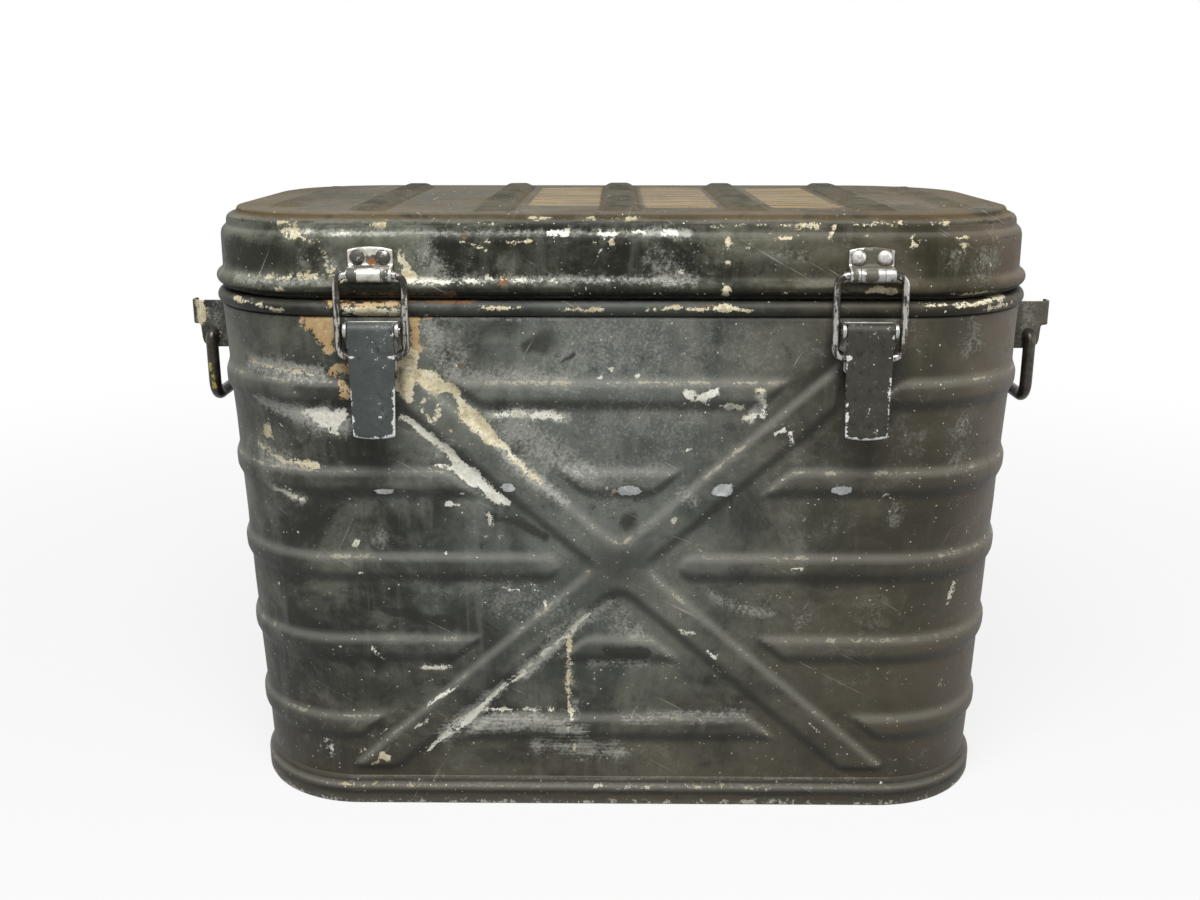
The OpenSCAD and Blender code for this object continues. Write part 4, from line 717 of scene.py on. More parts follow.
def bar_section(width, thick, round_off, spans):
    """Points round a flat bar's section with rounded edges: across, through."""
    a, b, r = width / 2 - round_off, thick / 2 - round_off, round_off
    points = []
    for k, (sx, sy) in enumerate(((1, 1), (-1, 1), (-1, -1), (1, -1))):
        for i in range(5):
            t = math.pi / 2 * (k + i / 4)
            points.append((sx * a + r * math.cos(t), sy * b + r * math.sin(t)))
        if k % 2 == 0:
            points += [(sx * (a - 2 * a * i / spans), sy * thick / 2) for i in range(1, spans)]
    return np.array(points)


def face_out(piece):
    shape = bmesh.new()
    shape.from_mesh(piece.data)
    bmesh.ops.recalc_face_normals(shape, faces=shape.faces)
    shape.to_mesh(piece.data)
    shape.free()


def bent_strip(name, path, across, widths, thick, round_off=0.5, spans=8, shift=None):
    """A strip of sheet bent along a path of points, with rounded edges and closed ends."""
    path = np.array(path, float)
    run = np.gradient(path, axis=0)
    run /= np.linalg.norm(run, axis=1, keepdims=True)
    across = np.array(across, float)
    rows, edges = [], []
    count = len(path)
    for i in range(count):
        through = np.cross(across, run[i])
        through /= np.linalg.norm(through)
        section = bar_section(widths[i], thick, round_off, spans)
        edges.append(ease(np.abs(section[:, 0]), widths[i] / 2 - 4.5, widths[i] / 2 - 0.2))
        if i in (0, count - 1):
            section = section * np.array([(widths[i] - 0.7) / widths[i], 0.55])
        row = path[i] + section[:, :1] * across + section[:, 1:] * through
        if shift is not None:
            row = row + shift(i, section[:, 0])
        rows.append(row)
    width = len(rows[0])
    points = np.concatenate(rows)
    faces = []
    for i in range(count - 1):
        for j in range(width):
            k = (j + 1) % width
            faces.append([i * width + j, i * width + k, (i + 1) * width + k, (i + 1) * width + j])
    faces.append(list(range(width))[::-1])
    faces.append([(count - 1) * width + j for j in range(width)])
    made = solid(name, (points * MM).tolist(), faces)
    face_out(made)
    attach(made, "edge", np.concatenate(edges))
    attach(made, "rust", np.zeros(len(points)))
    return made, points


def join(name, parts):
    """One object from several, which are used up."""
    with bpy.context.temp_override(active_object=parts[0], selected_editable_objects=parts):
        bpy.ops.object.join()
    parts[0].name = name
    parts[0].data.name = name
    return parts[0]


def put_at(piece, face, side):
    """Moves a piece that is made at the front's middle to its latch, into its mesh."""
    turn = Matrix.Rotation(0 if face == "front" else math.pi, 4, "Z")
    step = (1 if side == "right" else -1) * (1 if face == "front" else -1) * latch_x * MM
    piece.data.transform(turn @ Matrix.Translation((step, 0, 0)))
    return piece


def circle_path(y, z, radius, first, last, count):
    """Points round an axis that runs left to right, where 0 points to the back and 90 up."""
    turns = [math.radians(first + (last - first) * i / count) for i in range(count + 1)]
    return [(0.0, y + radius * math.cos(t), z + radius * math.sin(t)) for t in turns]


def worn_steel(name, paint=0.5, bright=(0.50, 0.49, 0.46), dull=(0.055, 0.054, 0.046), rough=0.30):
    """Steel that was painted olive and is rubbed bright along its edges, with brown rust."""
    steel = Finish(name)
    patch = steel.noise(45.0, 4.0, 0.6)
    fine = steel.noise(190.0, 5.0, 0.7)
    grain = steel.noise(900.0, 3.0, 0.6)
    left = (patch * 0.6 + fine * 0.4 - steel.mark("edge") * 0.22 + steel.mark("dull") * 0.34
            + (paint - 0.5) * 0.5).between(0.47, 0.53)
    colour = steel.tint(fine.between(0.35, 0.7), bright, tuple(0.55 * v for v in bright))
    colour = steel.tint(left, colour, steel.tint(grain.between(0.4, 0.7), dull, tuple(1.6 * v for v in dull)))
    rust = (steel.mark("rust") * 0.6 + fine * 0.6).between(0.52, 0.74)
    colour = steel.tint(rust, colour, steel.tint(grain.between(0.35, 0.65), (0.30, 0.13, 0.04), (0.17, 0.07, 0.03)))
    normal = steel.bump(fine * 0.6 + grain * 0.4, 0.0006, 0.4)
    return steel.done(colour, rough + fine * 0.2 + left * 0.2 + rust * 0.3, 0.9 - left * 0.8 - rust * 0.7, normal)


def make_catch(face, side):
    wall_y, thick = -154.75, 2.2
    middle = wall_y - thick / 2
    path = [(0, middle, 419.3), (0, middle, 418.4), (0, middle, 416.0), (0, middle, 413.0), (0, middle, 410.0),
            (0, middle, 408.2), (0, middle - 0.35, 407.1), (0, middle - 1.3, 406.2), (0, middle - 2.8, 405.6),
            (0, middle - 4.6, 405.25), (0, knuckle_y, 405.0)]

    def arch(i, across):
        drop = np.zeros((len(across), 3))
        drop[:, 2] = -across ** 2 / 120.0 * max(0.0, 1.0 - i / 4)
        return drop

    plate, points = bent_strip("catch_plate", path, (1, 0, 0), [28.8] + [30.0] * 10, thick, 0.45, 12, arch)
    stain = np.exp(-((points[:, 0] - 1.5) / 4.0) ** 2 - ((points[:, 2] - 409.5) / 3.0) ** 2)
    attach(plate, "rust", stain * (1.0 if side == "left" else 0.5))
    low_middle = (points[:, 2] < 414.5) * (np.abs(points[:, 0]) < 14.0)
    attach(plate, "dull", low_middle * (0.25 if side == "left" else 0.8))
    parts = [plate]
    for low, high, grow in ((-15.0, -8.1, 0.0), (-7.9, 7.9, 0.12), (8.1, 15.0, 0.0)):
        path = circle_path(knuckle_y, knuckle_z, 3.7 + grow, 88, 420, 34)
        path = [((low + high) / 2, y, z) for _, y, z in path]
        roll, points = bent_strip("catch_roll", path, (1, 0, 0), [high - low] * 35, thick, 0.35, 3)
        attach(roll, "dull", np.full(len(points), (0.95 if low != -7.9 else 0.08) * (1.0 if side == "left" else 0.15)))
        parts.append(roll)
    catch = put_at(join("catch_plate_" + face + "_" + side, parts), face, side)
    catch.data.materials.append(catch_finish[side])
    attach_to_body(catch, "lid")
    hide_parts("catch_" + face + "_" + side)


catch_finish = {"left": worn_steel("catch_steel_bright", paint=0.30, bright=(0.62, 0.60, 0.53)),
                "right": worn_steel("catch_steel_brown", paint=0.58, dull=(0.070, 0.062, 0.046))}
for face in ("front", "back"):
    for side in ("left", "right"):
        make_catch(face, side)


# Rivets: round-headed aluminium rivets, two through each catch, two in each latch's bracket and
# four behind each handle. They were painted over, and the crowns are rubbed bright.
def add_input(tree, name, kind, value=None):
    made = tree.interface.new_socket(name=name, in_out="INPUT", socket_type="NodeSocket" + kind)
    if value is not None:
        made.default_value = value
    return made


def rivet_tree():
    tree = bpy.data.node_groups.new("rivet_heads", "GeometryNodeTree")
    add_input(tree, "Places", "Geometry")
    add_input(tree, "Head width", "Float", 0.01)
    add_input(tree, "Head height", "Float", 0.003)
    add_input(tree, "Finish", "Material")
    tree.interface.new_socket(name="Rivets", in_out="OUTPUT", socket_type="NodeSocketGeometry")
    net = Net(tree)
    given = net.node("NodeGroupInput", out="Places")
    ball = net.node("GeometryNodeMeshUVSphere", {}, {"Segments": 28, "Rings": 16, "Radius": 1.0})
    half = given.also("Head width") * 0.5
    size = net.node("ShaderNodeCombineXYZ", {}, {0: half, 1: half, 2: given.also("Head height")})
    head = net.node("GeometryNodeTransform", {}, {"Geometry": ball, "Scale": size})
    facing = net.node("GeometryNodeInputNamedAttribute", {"data_type": "FLOAT_VECTOR"}, {"Name": "facing"})
    turn = net.node("FunctionNodeAlignRotationToVector", {"axis": "Z"}, {"Vector": facing})
    spots = net.node("GeometryNodeMeshToPoints", {}, {"Mesh": given})
    heads = net.node("GeometryNodeInstanceOnPoints", {}, {"Points": spots, "Instance": head, "Rotation": turn})
    whole = net.node("GeometryNodeRealizeInstances", {}, {"Geometry": heads})
    smooth = net.node("GeometryNodeSetShadeSmooth", {}, {"Geometry": whole})
    coated = net.node("GeometryNodeSetMaterial", {}, {"Geometry": smooth, "Material": given.also("Finish")})
    net.node("NodeGroupOutput", {}, {0: coated})
    return tree


def run_tree(name, base, tree, values, finish):
    """The plain mesh that a node tree makes from a base object, which is used up."""
    step = base.modifiers.new("made", "NODES")
    step.node_group = tree
    sockets = {s.name: s.identifier for s in tree.interface.items_tree if s.in_out == "INPUT"}
    for key, value in {**values, "Finish": finish}.items():
        step[sockets[key]] = value
    bpy.context.view_layer.update()
    mesh = bpy.data.meshes.new_from_object(base.evaluated_get(bpy.context.evaluated_depsgraph_get()))
    bpy.data.objects.remove(base)
    mesh.name = name
    mesh.materials.clear()
    mesh.materials.append(finish)
    made = bpy.data.objects.new(name, mesh)
    bpy.context.collection.objects.link(made)
    face_out(made)
    return made


rivets = rivet_tree()


def rivet_row(name, places, facings, width, height, finish, body, node):
    base = solid(name + "_places", [tuple(v * MM for v in p) for p in places], [], smooth=False)
    layer = base.data.attributes.new("facing", "FLOAT_VECTOR", "POINT")
    layer.data.foreach_set("vector", np.array(facings, np.float32).ravel())
    made = run_tree(name, base, rivets, {"Head width": width * MM, "Head height": height * MM}, finish)
    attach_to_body(made, body)
    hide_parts(node)
    return made


def rivet_finish(name):
    metal = Finish(name)
    patch = metal.noise(130.0, 4.0, 0.65)
    fine = metal.noise(700.0, 4.0, 0.7)
    dirty = (patch * 0.7 + fine * 0.3 - metal.x.between(-0.05, 0.05) * 0.16).between(0.42, 0.50)
    colour = metal.tint(fine.between(0.4, 0.65), (0.60, 0.59, 0.56), (0.36, 0.34, 0.30))
    colour = metal.tint(dirty, colour, (0.055, 0.052, 0.042))
    return metal.done(colour, 0.28 + fine * 0.25 + dirty * 0.25, 0.9 - dirty * 0.8,
                      metal.bump(patch * 0.6 + fine * 0.4, 0.0008, 0.5))


catch_places, catch_facings = [], []
for face, turn in (("front", 1), ("back", -1)):
    for latch in (-latch_x, latch_x):
        for step in (-8.6, 8.6):
            catch_places.append((latch + step, turn * -156.8, 412.35))
            catch_facings.append((0, -turn, 0))
rivet_row("catch_rivet_heads", catch_places, catch_facings, 10.4, 2.9, rivet_finish("catch_rivet_metal"),
          "lid", "catch_rivets")


# Latch brackets: under each lever a steel plate is riveted to the wall, and two ears on it carry
# the lever's pin. They are painted dark, with bright rims on the ears.
pin_y, pin_z, barrel = -164.2, 364.533, 5.3


def front_y(z):
    return wall_inset(z) - can_depth / 2


def bevelled(name, outline, low, high, axis, bevel=0.5):
    """A flat plate from an outline in the other two axes, with its edges broken."""
    shape = bmesh.new()
    rings = []
    for at in (low, high):
        ring = []
        for u, v in outline:
            point = [u, v]
            point.insert(axis, at)
            ring.append(shape.verts.new([c * MM for c in point]))
        rings.append(ring)
    shape.faces.new(rings[0])
    shape.faces.new(rings[1][::-1])
    for i in range(len(outline)):
        j = (i + 1) % len(outline)
        shape.faces.new([rings[0][i], rings[0][j], rings[1][j], rings[1][i]])
    bmesh.ops.recalc_face_normals(shape, faces=shape.faces)
    edges = [e for e in shape.edges if len(e.link_faces) == 2 and e.calc_face_angle(0) > 0.6]
    bmesh.ops.bevel(shape, geom=edges, offset=bevel * MM, segments=3, affect="EDGES", profile=0.5)
    mesh = bpy.data.meshes.new(name)
    shape.to_mesh(mesh)
    shape.free()
    mesh.shade_smooth()
    made = bpy.data.objects.new(name, mesh)
    bpy.context.collection.objects.link(made)
    co = np.array([v.co[:] for v in mesh.vertices]) / MM
    uv = np.delete(co, axis, 1)
    ring = np.array(outline + outline[:1])
    away = np.full(len(uv), 1e9)
    for a, b in zip(ring[:-1], ring[1:]):
        t = np.clip(((uv - a) @ (b - a)) / ((b - a) @ (b - a)), 0, 1)[:, None]
        away = np.minimum(away, np.linalg.norm(uv - a - t * (b - a), axis=1))
    attach(made, "edge", 1.0 - ease(away, 0.3, 1.5))
    attach(made, "rust", np.zeros(len(co)))
    return made


def make_latch_bracket(face, side):
    top, neck, foot = 369.83, 351.2, 334.5
    wide, narrow = 18.6, 15.0
    outline = [(-wide, neck), (-narrow, neck - 2.5), (-narrow, foot + 2), (-narrow + 2, foot), (narrow - 2, foot),
               (narrow, foot + 2), (narrow, neck - 2.5), (wide, neck), (wide, top), (-wide, top)]
    plate = bevelled("bracket_plate", outline, -2.0, -0.06, 1, 0.35)
    for v in plate.data.vertices:
        v.co.y += front_y(v.co.z / MM) * MM
    parts = [plate]
    nose = [(pin_y + barrel * math.cos(math.radians(t)), pin_z + barrel * math.sin(math.radians(t)))
            for t in range(90, 276, 12)]
    ear_line = [(front_y(top) - 0.1, top)] + nose + [(front_y(pin_z) - 0.1, pin_z - 13.0)]
    for low in (-18.6, 16.1):
        parts.append(bevelled("bracket_ear", ear_line, low, low + 2.5, 0, 0.45))
    bracket = put_at(join("latch_bracket_" + face + "_" + side, parts), face, side)
    bracket.data.materials.append(bracket_steel)
    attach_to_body(bracket, "container")
    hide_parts("latch_base_" + face + "_" + side)


bracket_steel = worn_steel("latch_bracket_steel", paint=0.66, bright=(0.46, 0.45, 0.42), dull=(0.045, 0.045, 0.037))
for face in ("front", "back"):
    for side in ("left", "right"):
        make_latch_bracket(face, side)

base_places, base_facings = [], []
lean = math.radians(2.17)
for turn in (1, -1):
    for latch in (-latch_x, latch_x):
        for step in (-8.6, 8.6):
            base_places.append((latch + step, turn * (front_y(340.53) - 2.0), 340.53))
            base_facings.append((0, -turn * math.cos(lean), -math.sin(lean)))
rivet_row("latch_bracket_rivet_heads", base_places, base_facings, 6.0, 1.6, rivet_finish("bracket_rivet_metal"),
          "container", "latch_base_rivets")


# Bails and pins: each bail is a ring of round steel wire, bent with four round corners and closed
# inside the catch's roll. The lever's pin is a straight piece of the same kind of wire.
def wire_tree():
    tree = bpy.data.node_groups.new("bent_wire", "GeometryNodeTree")
    add_input(tree, "Line", "Geometry")
    add_input(tree, "Wire width", "Float", 0.005)
    add_input(tree, "Sides", "Int", 24)
    add_input(tree, "Finish", "Material")
    tree.interface.new_socket(name="Wire", in_out="OUTPUT", socket_type="NodeSocketGeometry")
    net = Net(tree)
    given = net.node("NodeGroupInput", out="Line")
    line = net.node("GeometryNodeMeshToCurve", {}, {"Mesh": given})
    bend = net.node("GeometryNodeInputNamedAttribute", {"data_type": "FLOAT"}, {"Name": "bend"})
    rounded = net.node("GeometryNodeFilletCurve", {"mode": "POLY"},
                       {"Curve": line, "Radius": bend, "Count": 12})
    section = net.node("GeometryNodeCurvePrimitiveCircle", {}, {"Resolution": given.also("Sides"),
                                                                "Radius": given.also("Wire width") * 0.5})
    wire = net.node("GeometryNodeCurveToMesh", {}, {"Curve": rounded, "Profile Curve": section, "Fill Caps": True})
    whole = net.node("GeometryNodeRealizeInstances", {}, {"Geometry": wire})
    smooth = net.node("GeometryNodeSetShadeSmooth", {}, {"Geometry": whole})
    coated = net.node("GeometryNodeSetMaterial", {}, {"Geometry": smooth, "Material": given.also("Finish")})
    net.node("NodeGroupOutput", {}, {0: coated})
    return tree


bent_wire = wire_tree()


def wire_piece(name, lines, width, finish, sides=24):
    """Round wire along lines of corners. A line is its corners, their bends and whether it closes."""
    points, edges, bends = [], [], []
    for corners, radii, closed in lines:
        start = len(points)
        points += [tuple(v * MM for v in p) for p in corners]
        bends += [r * MM for r in radii]
        count = len(corners)
        edges += [(start + i, start + (i + 1) % count) for i in range(count if closed else count - 1)]
    mesh = bpy.data.meshes.new(name + "_line")
    mesh.from_pydata(points, edges, [])
    base = bpy.data.objects.new(name + "_line", mesh)
    bpy.context.collection.objects.link(base)
    attach(base, "bend", bends)
    return run_tree(name, base, bent_wire, {"Wire width": width * MM, "Sides": sides}, finish)


def dark_wire(name, shine=0.5, streak=None):
    """Steel wire, dark with age, rubbed bright in long streaks."""
    steel = Finish(name)
    fine = steel.noise(160.0, 5.0, 0.7)
    grain = steel.noise(900.0, 3.0, 0.6)
    long = steel.noise(1.0, 4.0, 0.65, place=steel.turned((240.0, 240.0, 30.0)), warp=0.5)
    rubbed = (long * 0.7 + fine * 0.3 + (shine - 0.5) * 0.4).between(0.51, 0.56)
    colour = steel.tint(fine.between(0.35, 0.65), (0.022, 0.020, 0.016), (0.060, 0.052, 0.038))
    colour = steel.tint(rubbed, colour, (0.42, 0.41, 0.38))
    colour = steel.tint(grain.between(0.58, 0.68) * 0.5, colour, (0.16, 0.09, 0.045))
    if streak:
        sx, sz, half, tall = streak
        near = steel.node("ShaderNodeMath", {"operation": "ABSOLUTE"}, {0: steel.z - sz})
        beside = steel.node("ShaderNodeMath", {"operation": "ABSOLUTE"},
                            {0: steel.x - sx + (steel.z - sz) * 0.12})
        line = (1.0 - near.between(tall * 0.7, tall)) * (1.0 - beside.between(half * 0.4, half))
        line = (line * 0.5 + fine * 1.1).between(0.96, 1.04) * (0.0 - steel.y).between(0.0, 0.01)
        colour = steel.tint(line, colour, (0.36, 0.32, 0.06))
    return steel.done(colour, 0.20 + fine * 0.25 - rubbed * 0.06, 0.45 + rubbed * 0.5,
                      steel.bump(fine * 0.6 + grain * 0.4, 0.0007, 0.5))


bail_finish = dark_wire("bail_steel", shine=0.60)
for face in ("front", "back"):
    for side in ("left", "right"):
        half = 22.7
        ring = [(-half, knuckle_y, knuckle_z), (half, knuckle_y, knuckle_z),
                (half, bail_foot_y, bail_foot_z), (-half, bail_foot_y, bail_foot_z)]
        bail = wire_piece("bail_wire_" + face + "_" + side, [(ring, [7.0] * 4, True)], 5.0, bail_finish)
        put_at(bail, face, side)
        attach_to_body(bail, "bail_" + face + "_" + side)
        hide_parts("bail_" + face + "_" + side)

pin_lines = []
for turn in (1, -1):
    for latch in (-latch_x, latch_x):
        pin_lines.append(([(latch - 19.2, turn * pin_y, pin_z), (latch + 19.2, turn * pin_y, pin_z)], [0.0, 0.0], False))
pins = wire_piece("lever_pins", pin_lines, 5.0, dark_wire("pin_steel", shine=0.8))
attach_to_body(pins, "container")
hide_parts("latch_pins")


# Levers: four steel straps, each rolled over its pin and bent outwards a little at a fold, down to
# an arched foot for the fingers. Olive paint covers them except along the edges, rubbed to silver.
def lever_paint(name, tone, warm, bared):
    coat = Finish(name)
    coat.shader.inputs["Specular IOR Level"].default_value = 0.30
    patch = coat.noise(38.0, 4.0, 0.6)
    fine = coat.noise(170.0, 5.0, 0.72)
    grain = coat.noise(800.0, 4.0, 0.7)
    colour = coat.tint((patch * 0.6 + fine * 0.4).between(0.38, 0.62), tone, tuple(1.5 * v for v in tone))
    colour = coat.tint(grain.between(0.50, 0.68) * 0.35, colour, tuple(0.5 * v for v in tone))
    colour = coat.tint(patch.between(0.52, 0.7) * 0.5, colour, warm)
    edge = (coat.mark("edge") * bared + (fine - 0.5) * 2.2 + (patch - 0.5) * 1.8).between(0.62, 0.70)
    pits = (1.0 - fine * 0.6 - grain * 0.4 + (patch - 0.5) * 0.3).between(0.562, 0.60)
    colour = coat.tint(pits * 0.8, colour, tuple(0.3 * v for v in tone))
    chips = coat.flecks(300.0, 0.10) | (fine * 0.5 + grain * 0.5 + (patch - 0.5) * 0.2).between(0.612, 0.635)
    bare = (edge | chips) & 1.0
    colour = coat.tint(bare, colour, coat.tint(grain.between(0.4, 0.6), (0.74, 0.75, 0.75), (0.55, 0.55, 0.53)))
    normal = coat.bump(fine * 0.5 + grain * 0.3 - bare * 0.6, 0.0006, 0.5)
    return coat.done(colour, 0.42 + fine * 0.2 - bare * 0.1, bare * 0.75, normal)


lever_finish = {"left": lever_paint("lever_paint_cool", (0.050, 0.057, 0.054), (0.082, 0.088, 0.078), 1.0),
                "right": lever_paint("lever_paint_warm", (0.029, 0.028, 0.021), (0.046, 0.040, 0.028), 0.78)}


def make_lever(face, side):
    thick, radius = 2.2, barrel - 1.15
    path = circle_path(pin_y, pin_z, radius, -95, 180, 30)
    front = pin_y - radius
    path += [(0, front, z) for z in (362.0, 359.0, 355.0, 351.5, 349.0, 347.6)]
    path += [(0, front - 0.02, 346.5), (0, front - 0.12, 345.4)]
    path += [(0, front - 0.12 - 2.38 * t, 345.4 - 52.3 * t) for t in (0.04, 0.12, 0.25, 0.4, 0.55, 0.7, 0.8, 0.88,
                                                                    0.94, 0.975, 1.0)]
    heights = [z for _, _, z in path]
    widths = [31.0 - 2.6 * max(0.0, (346.5 - z) / 55.0) for z in heights]
    widths[:31] = [31.0] * 31

    def arch(i, across):
        move = np.zeros((len(across), 3))
        if i > 36:
            low = max(0.0, 1.0 - (heights[i] - heights[-1]) / 12.0)
            move[:, 2] = low * (-1.6 * (1.0 - (across / 14.2) ** 2))
        return move

    lever, points = bent_strip("lever_strap", path, (1, 0, 0), widths, thick, 0.55, 14, arch)
    x, y, z = points.T
    values = np.zeros(len(points), np.float32)
    lever.data.attributes["edge"].data.foreach_get("value", values)
    worn_low = ease(348.0 - z, 0, 40) * 0.50 + 0.45
    foot = 1.0 - ease(z - (291.5 - 1.6 * (1.0 - (x / 14.2) ** 2)), 1.5, 6.5)
    fold = 1.1 * np.exp(-((z - 347.6) / 1.8) ** 2) * ease(np.abs(x), 8.5, 13.5)
    roll = 0.5 * ease(np.abs(x), 12.6, 15.4) * np.exp(-((z - 361.0) / 3.0) ** 2)
    attach(lever, "edge", np.clip(np.maximum.reduce([values * worn_low, foot * 1.1, fold, roll]), 0, 1.2))
    finger, _ = bent_strip("lever_finger", [(0, front + 0.6, 349.7), (0, front + 2.0, 350.1),
                                            (0, front + 4.6, 350.1), (0, front + 6.2, 349.9)],
                           (1, 0, 0), [10.3] * 4, 2.2, 0.5, 3)
    lever = put_at(join("lever_strap_" + face + "_" + side, [lever, finger]), face, side)
    lever.data.materials.append(lever_finish[side])
    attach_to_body(lever, "lever_" + face + "_" + side)
    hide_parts("lever_" + face + "_" + side)


for face in ("front", "back"):
    for side in ("left", "right"):
        make_lever(face, side)


# Handle brackets: at each end a plate is riveted to the can, and two ears of sheet steel on it hold
# the handle. Each ear's upper outer end is bent into a short flange with a round corner.
lip_x, cheek_y, bracket_foot, bracket_top = 322.6, 49.75, 331.883, 367.5


def make_handle_bracket(side):
    bend, parts = 5.5, []
    start = can_length / 2 - wall_inset(bracket_top) - 0.6
    # Along the ear: x, y and how far its lower edge is above the plate's.
    ear = [(start, -cheek_y, 0), (296, -cheek_y, 0), (304, -cheek_y, 0), (310, -cheek_y, 0), (312.5, -cheek_y, 0.5),
           (314.5, -cheek_y, 1.8), (315.8, -cheek_y, 3.6), (316.5, -cheek_y, 6.0), (316.9, -cheek_y, 12.0),
           (317.1, -cheek_y, 16.2)]
    for i in range(1, 11):
        t = math.pi / 2 * i / 10
        ear.append((lip_x - bend + bend * math.sin(t), -cheek_y + bend - bend * math.cos(t), 17.6))
    ear += [(lip_x, -41.5, 17.6), (lip_x, -39.2, 18.0), (lip_x, -37.9, 19.0), (lip_x, -37.1, 20.6)]
    for face in (1, -1):
        widths = [bracket_top - bracket_foot - up for _, _, up in ear]
        strip, _ = bent_strip("bracket_ear", [(x, y * face, 0.0) for x, y, _ in ear], (0, 0, 1), widths, 2.5, 0.6, 8)
        section = len(strip.data.vertices) // len(ear)
        for i, v in enumerate(strip.data.vertices):
            v.co.z += (bracket_top - widths[i // section] / 2) * MM
        parts.append(strip)
    outline = [(-cheek_y, bracket_foot), (cheek_y, bracket_foot), (cheek_y, bracket_top), (-cheek_y, bracket_top)]
    back = bevelled("bracket_back", outline, -0.3, 2.0, 0, 0.4)
    for v in back.data.vertices:
        v.co.x += (can_length / 2 - wall_inset(v.co.z / MM)) * MM
    bracket = join("handle_bracket_ears_" + side, parts + [back])
    if side == "left":
        bracket.data.transform(Matrix.Rotation(math.pi, 4, "Z"))
    x, y, z = (np.array([v.co[:] for v in bracket.data.vertices]) / MM).T
    attach(bracket, "cream", (side == "left") * 0.8 * np.exp(-((np.abs(x) - 316.0) / 3.4) ** 2) * (y < -38) * (z > 348))
    attach(bracket, "sheen_and_chalk", 0.4 * np.exp(-((np.abs(x) - 306.0) / 6.0) ** 2) * (y < -38))
    bracket.data.materials.append(handle_bracket_paint)
    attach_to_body(bracket, "container")
    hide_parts("handle_bracket_" + side)


handle_bracket_paint = old_paint("handle_bracket_paint", marked=True, wear=0.6, tone=0.6)
for side in ("left", "right"):
    make_handle_bracket(side)

end_places, end_facings = [], []
for turn in (1, -1):
    for z in (bracket_foot + 7.0, bracket_top - 7.0):
        for y in (-0.32 * 102, 0.32 * 102):
            end_places.append((turn * (can_length / 2 - wall_inset(z) + 2.0), y, z))
            end_facings.append((turn * math.cos(lean), 0, -math.sin(lean)))
rivet_row("handle_bracket_rivet_heads", end_places, end_facings, 7.0, 1.9, rivet_finish("handle_rivet_metal"),
          "container", "handle_bracket_rivets")


# Drop handles: at each end a round steel bar is bent into a wide loop, and its two ends turn in
# holes in the bracket's cheeks. The dark paint is worn, and one leg has an old yellow streak.
handle_finish = {"left": dark_wire("handle_steel_left", 0.30, streak=(-0.3085, 0.3115, 0.0026, 0.013)),
                 "right": dark_wire("handle_steel_right", 0.30)}
for side, turn in (("left", -1), ("right", 1)):
    x, leg, top_z = turn * 308.0, 56.3, 342.883
    loop = [(x, -43.3, top_z), (x, -leg, top_z), (x, -leg, top_z - 48), (x, leg, top_z - 48), (x, leg, top_z),
            (x, 43.3, top_z)]
    handle = wire_piece("drop_handle_" + side, [(loop, [0, 6.0, 12.0, 12.0, 6.0, 0], False)], 9.0,
                        handle_finish[side], 32)
    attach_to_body(handle, "handle_" + side)
    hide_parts("handle_" + side)


# Inside: the tank, the food pans with their covers, and the lid's liner are spun and drawn from
# plain aluminium. Washing has left fine scratches and a grey bloom on them.
def plain_aluminium(name, tone=0.62, rough=0.32):
    metal = Finish(name)
    cloud = metal.noise(12.0, 4.0, 0.6)
    brushed = metal.noise(1.0, 3.0, 0.6, place=metal.turned((900.0, 900.0, 18.0)))
    swirl = metal.noise(160.0, 5.0, 0.7)
    colour = metal.tint((cloud * 0.6 + swirl * 0.4).between(0.38, 0.62), (tone, tone, tone * 0.99),
                        (tone * 0.72, tone * 0.73, tone * 0.72))
    colour = metal.tint(metal.flecks(90.0, 0.15) * 0.7, colour, (0.25, 0.24, 0.22))
    return metal.done(colour, rough + swirl * 0.2, 1.0, metal.bump(brushed * 0.5 + swirl * 0.5, 0.0004, 0.4))


def give(names, finish):
    for name in names:
        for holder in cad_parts[name].material_slots:
            holder.material = finish


sides = ("left", "middle", "right")
give(["inner_tank", "lid_liner"], plain_aluminium("tank_aluminium", 0.40, 0.42))
give(["base_plate"], old_paint("base_paint", dust=0.35, wear=1.2))
give(["pan_" + s for s in sides], plain_aluminium("pan_aluminium", 0.46, 0.34))
give(["pan_cover_" + s for s in sides], plain_aluminium("cover_aluminium", 0.48, 0.34))


# Grips, seals and insulation: the covers have steel wire grips, the covers and the lid press on
# black rubber seals, and yellowed foam fills the double wall and the lid.
def seal_rubber(name):
    rubber = Finish(name)
    fine = rubber.noise(240.0, 4.0, 0.65)
    bloom = rubber.noise(30.0, 4.0, 0.6)
    colour = rubber.tint(bloom.between(0.42, 0.66), (0.020, 0.020, 0.021), (0.062, 0.060, 0.057))
    return rubber.done(colour, 0.62 + fine * 0.2, 0.0, rubber.bump(fine, 0.0004, 0.5))


def wall_foam(name):
    foam = Finish(name)
    cells = foam.node("ShaderNodeTexVoronoi", {"feature": "F1"}, {"Vector": foam.place, "Scale": 700.0})
    cloud = foam.noise(22.0, 4.0, 0.6)
    colour = foam.tint(cloud.between(0.38, 0.62), (0.56, 0.43, 0.20), (0.42, 0.30, 0.12))
    colour = foam.tint(cells.between(0.2, 0.6) * 0.4, colour, (0.26, 0.18, 0.08))
    return foam.done(colour, 0.9, 0.0, foam.bump(cells, 0.0008, 0.6))


give(["lid_gasket"] + ["pan_seal_" + s for s in sides], seal_rubber("black_rubber"))
give(["body_insulation", "lid_insulation"], wall_foam("yellow_foam"))
give(["cover_grip_" + s for s in sides], dark_wire("grip_steel_wire", shine=1.2))


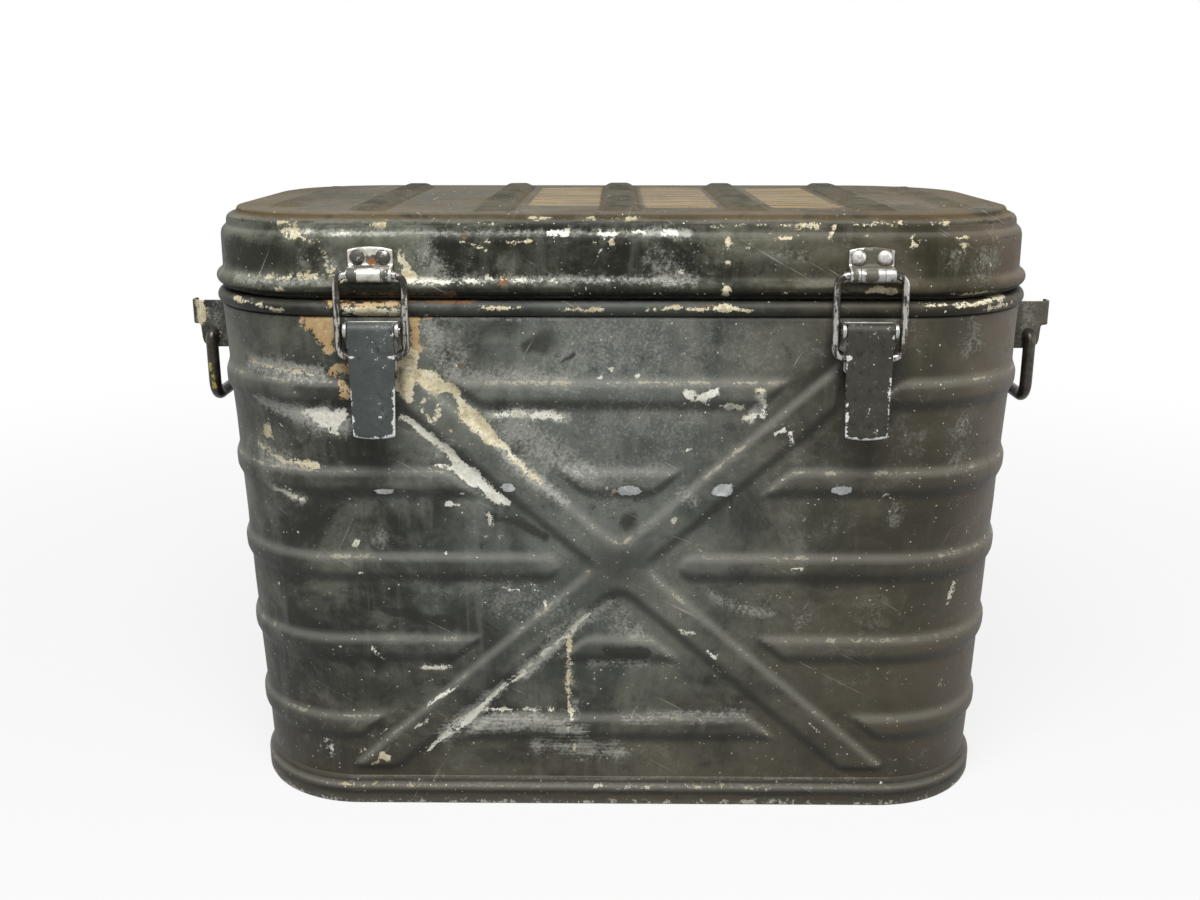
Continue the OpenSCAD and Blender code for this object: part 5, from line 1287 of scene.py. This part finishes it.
# Floor and light: a pale floor under a white sky, with one wide soft panel above the can and a
# smaller one to its right.
floor_finish = Finish("pale_floor")
rays = floor_finish.node("ShaderNodeLightPath", out="Is Camera Ray")
ground = floor_finish.tint(rays, (0.20, 0.20, 0.195), (0.62, 0.62, 0.61))
rays = rays | rays.also("Is Glossy Ray") | rays.also("Is Transmission Ray")
far = floor_finish.node("ShaderNodeVectorMath", {"operation": "LENGTH"}, {0: floor_finish.place}, out="Value")
glow = floor_finish.node("ShaderNodeEmission", {}, {0: (1.0, 1.0, 1.0), 1: 1.0})
amount = rays * (0.80 + far.between(0.35, 1.7) * 0.20)
floor_finish.done(ground, 0.95)
whole = floor_finish.node("ShaderNodeMixShader", {}, {0: amount, 1: Socket(floor_finish, floor_finish.shader.outputs[0]),
                                                      2: glow})
floor_finish.plug(floor_finish.tree.nodes["Material Output"].inputs["Surface"], whole)
floor = solid("floor", [(-9, -9, 0), (9, -9, 0), (9, 9, 0), (-9, 9, 0)], [(0, 1, 2, 3)], smooth=False)
floor.data.materials.append(floor_finish.material)

sky = bpy.data.worlds.new("sky")
bpy.context.scene.world = sky
sky.use_nodes = True
sky.node_tree.nodes.clear()
air = Net(sky.node_tree)
path = air.node("ShaderNodeLightPath", out="Is Camera Ray")
seen = path | path.also("Is Glossy Ray") | path.also("Is Transmission Ray")
soft = air.node("ShaderNodeBackground", {}, {0: (0.97, 0.99, 1.0), 1: 0.30})
white = air.node("ShaderNodeBackground", {}, {0: (1.0, 1.0, 1.0), 1: 1.0})
air.node("ShaderNodeOutputWorld", {}, {"Surface": air.node("ShaderNodeMixShader", {}, {0: seen, 1: soft, 2: white})})


def light_panel(name, place, aim, width, height, watts):
    lamp = bpy.data.lights.new(name, "AREA")
    lamp.shape = "RECTANGLE"
    lamp.size, lamp.size_y, lamp.energy = width, height, watts
    made = bpy.data.objects.new(name, lamp)
    made.location = place
    made.rotation_euler = (Vector(aim) - Vector(place)).to_track_quat("-Z", "Y").to_euler()
    bpy.context.collection.objects.link(made)


light_panel("panel_above", (-0.1, -1.05, 1.95), (0, -0.1, 0.25), 1.4, 0.6, 50)
light_panel("panel_right", (1.6, -0.9, 0.8), (0.2, -0.1, 0.25), 0.5, 1.0, 5)
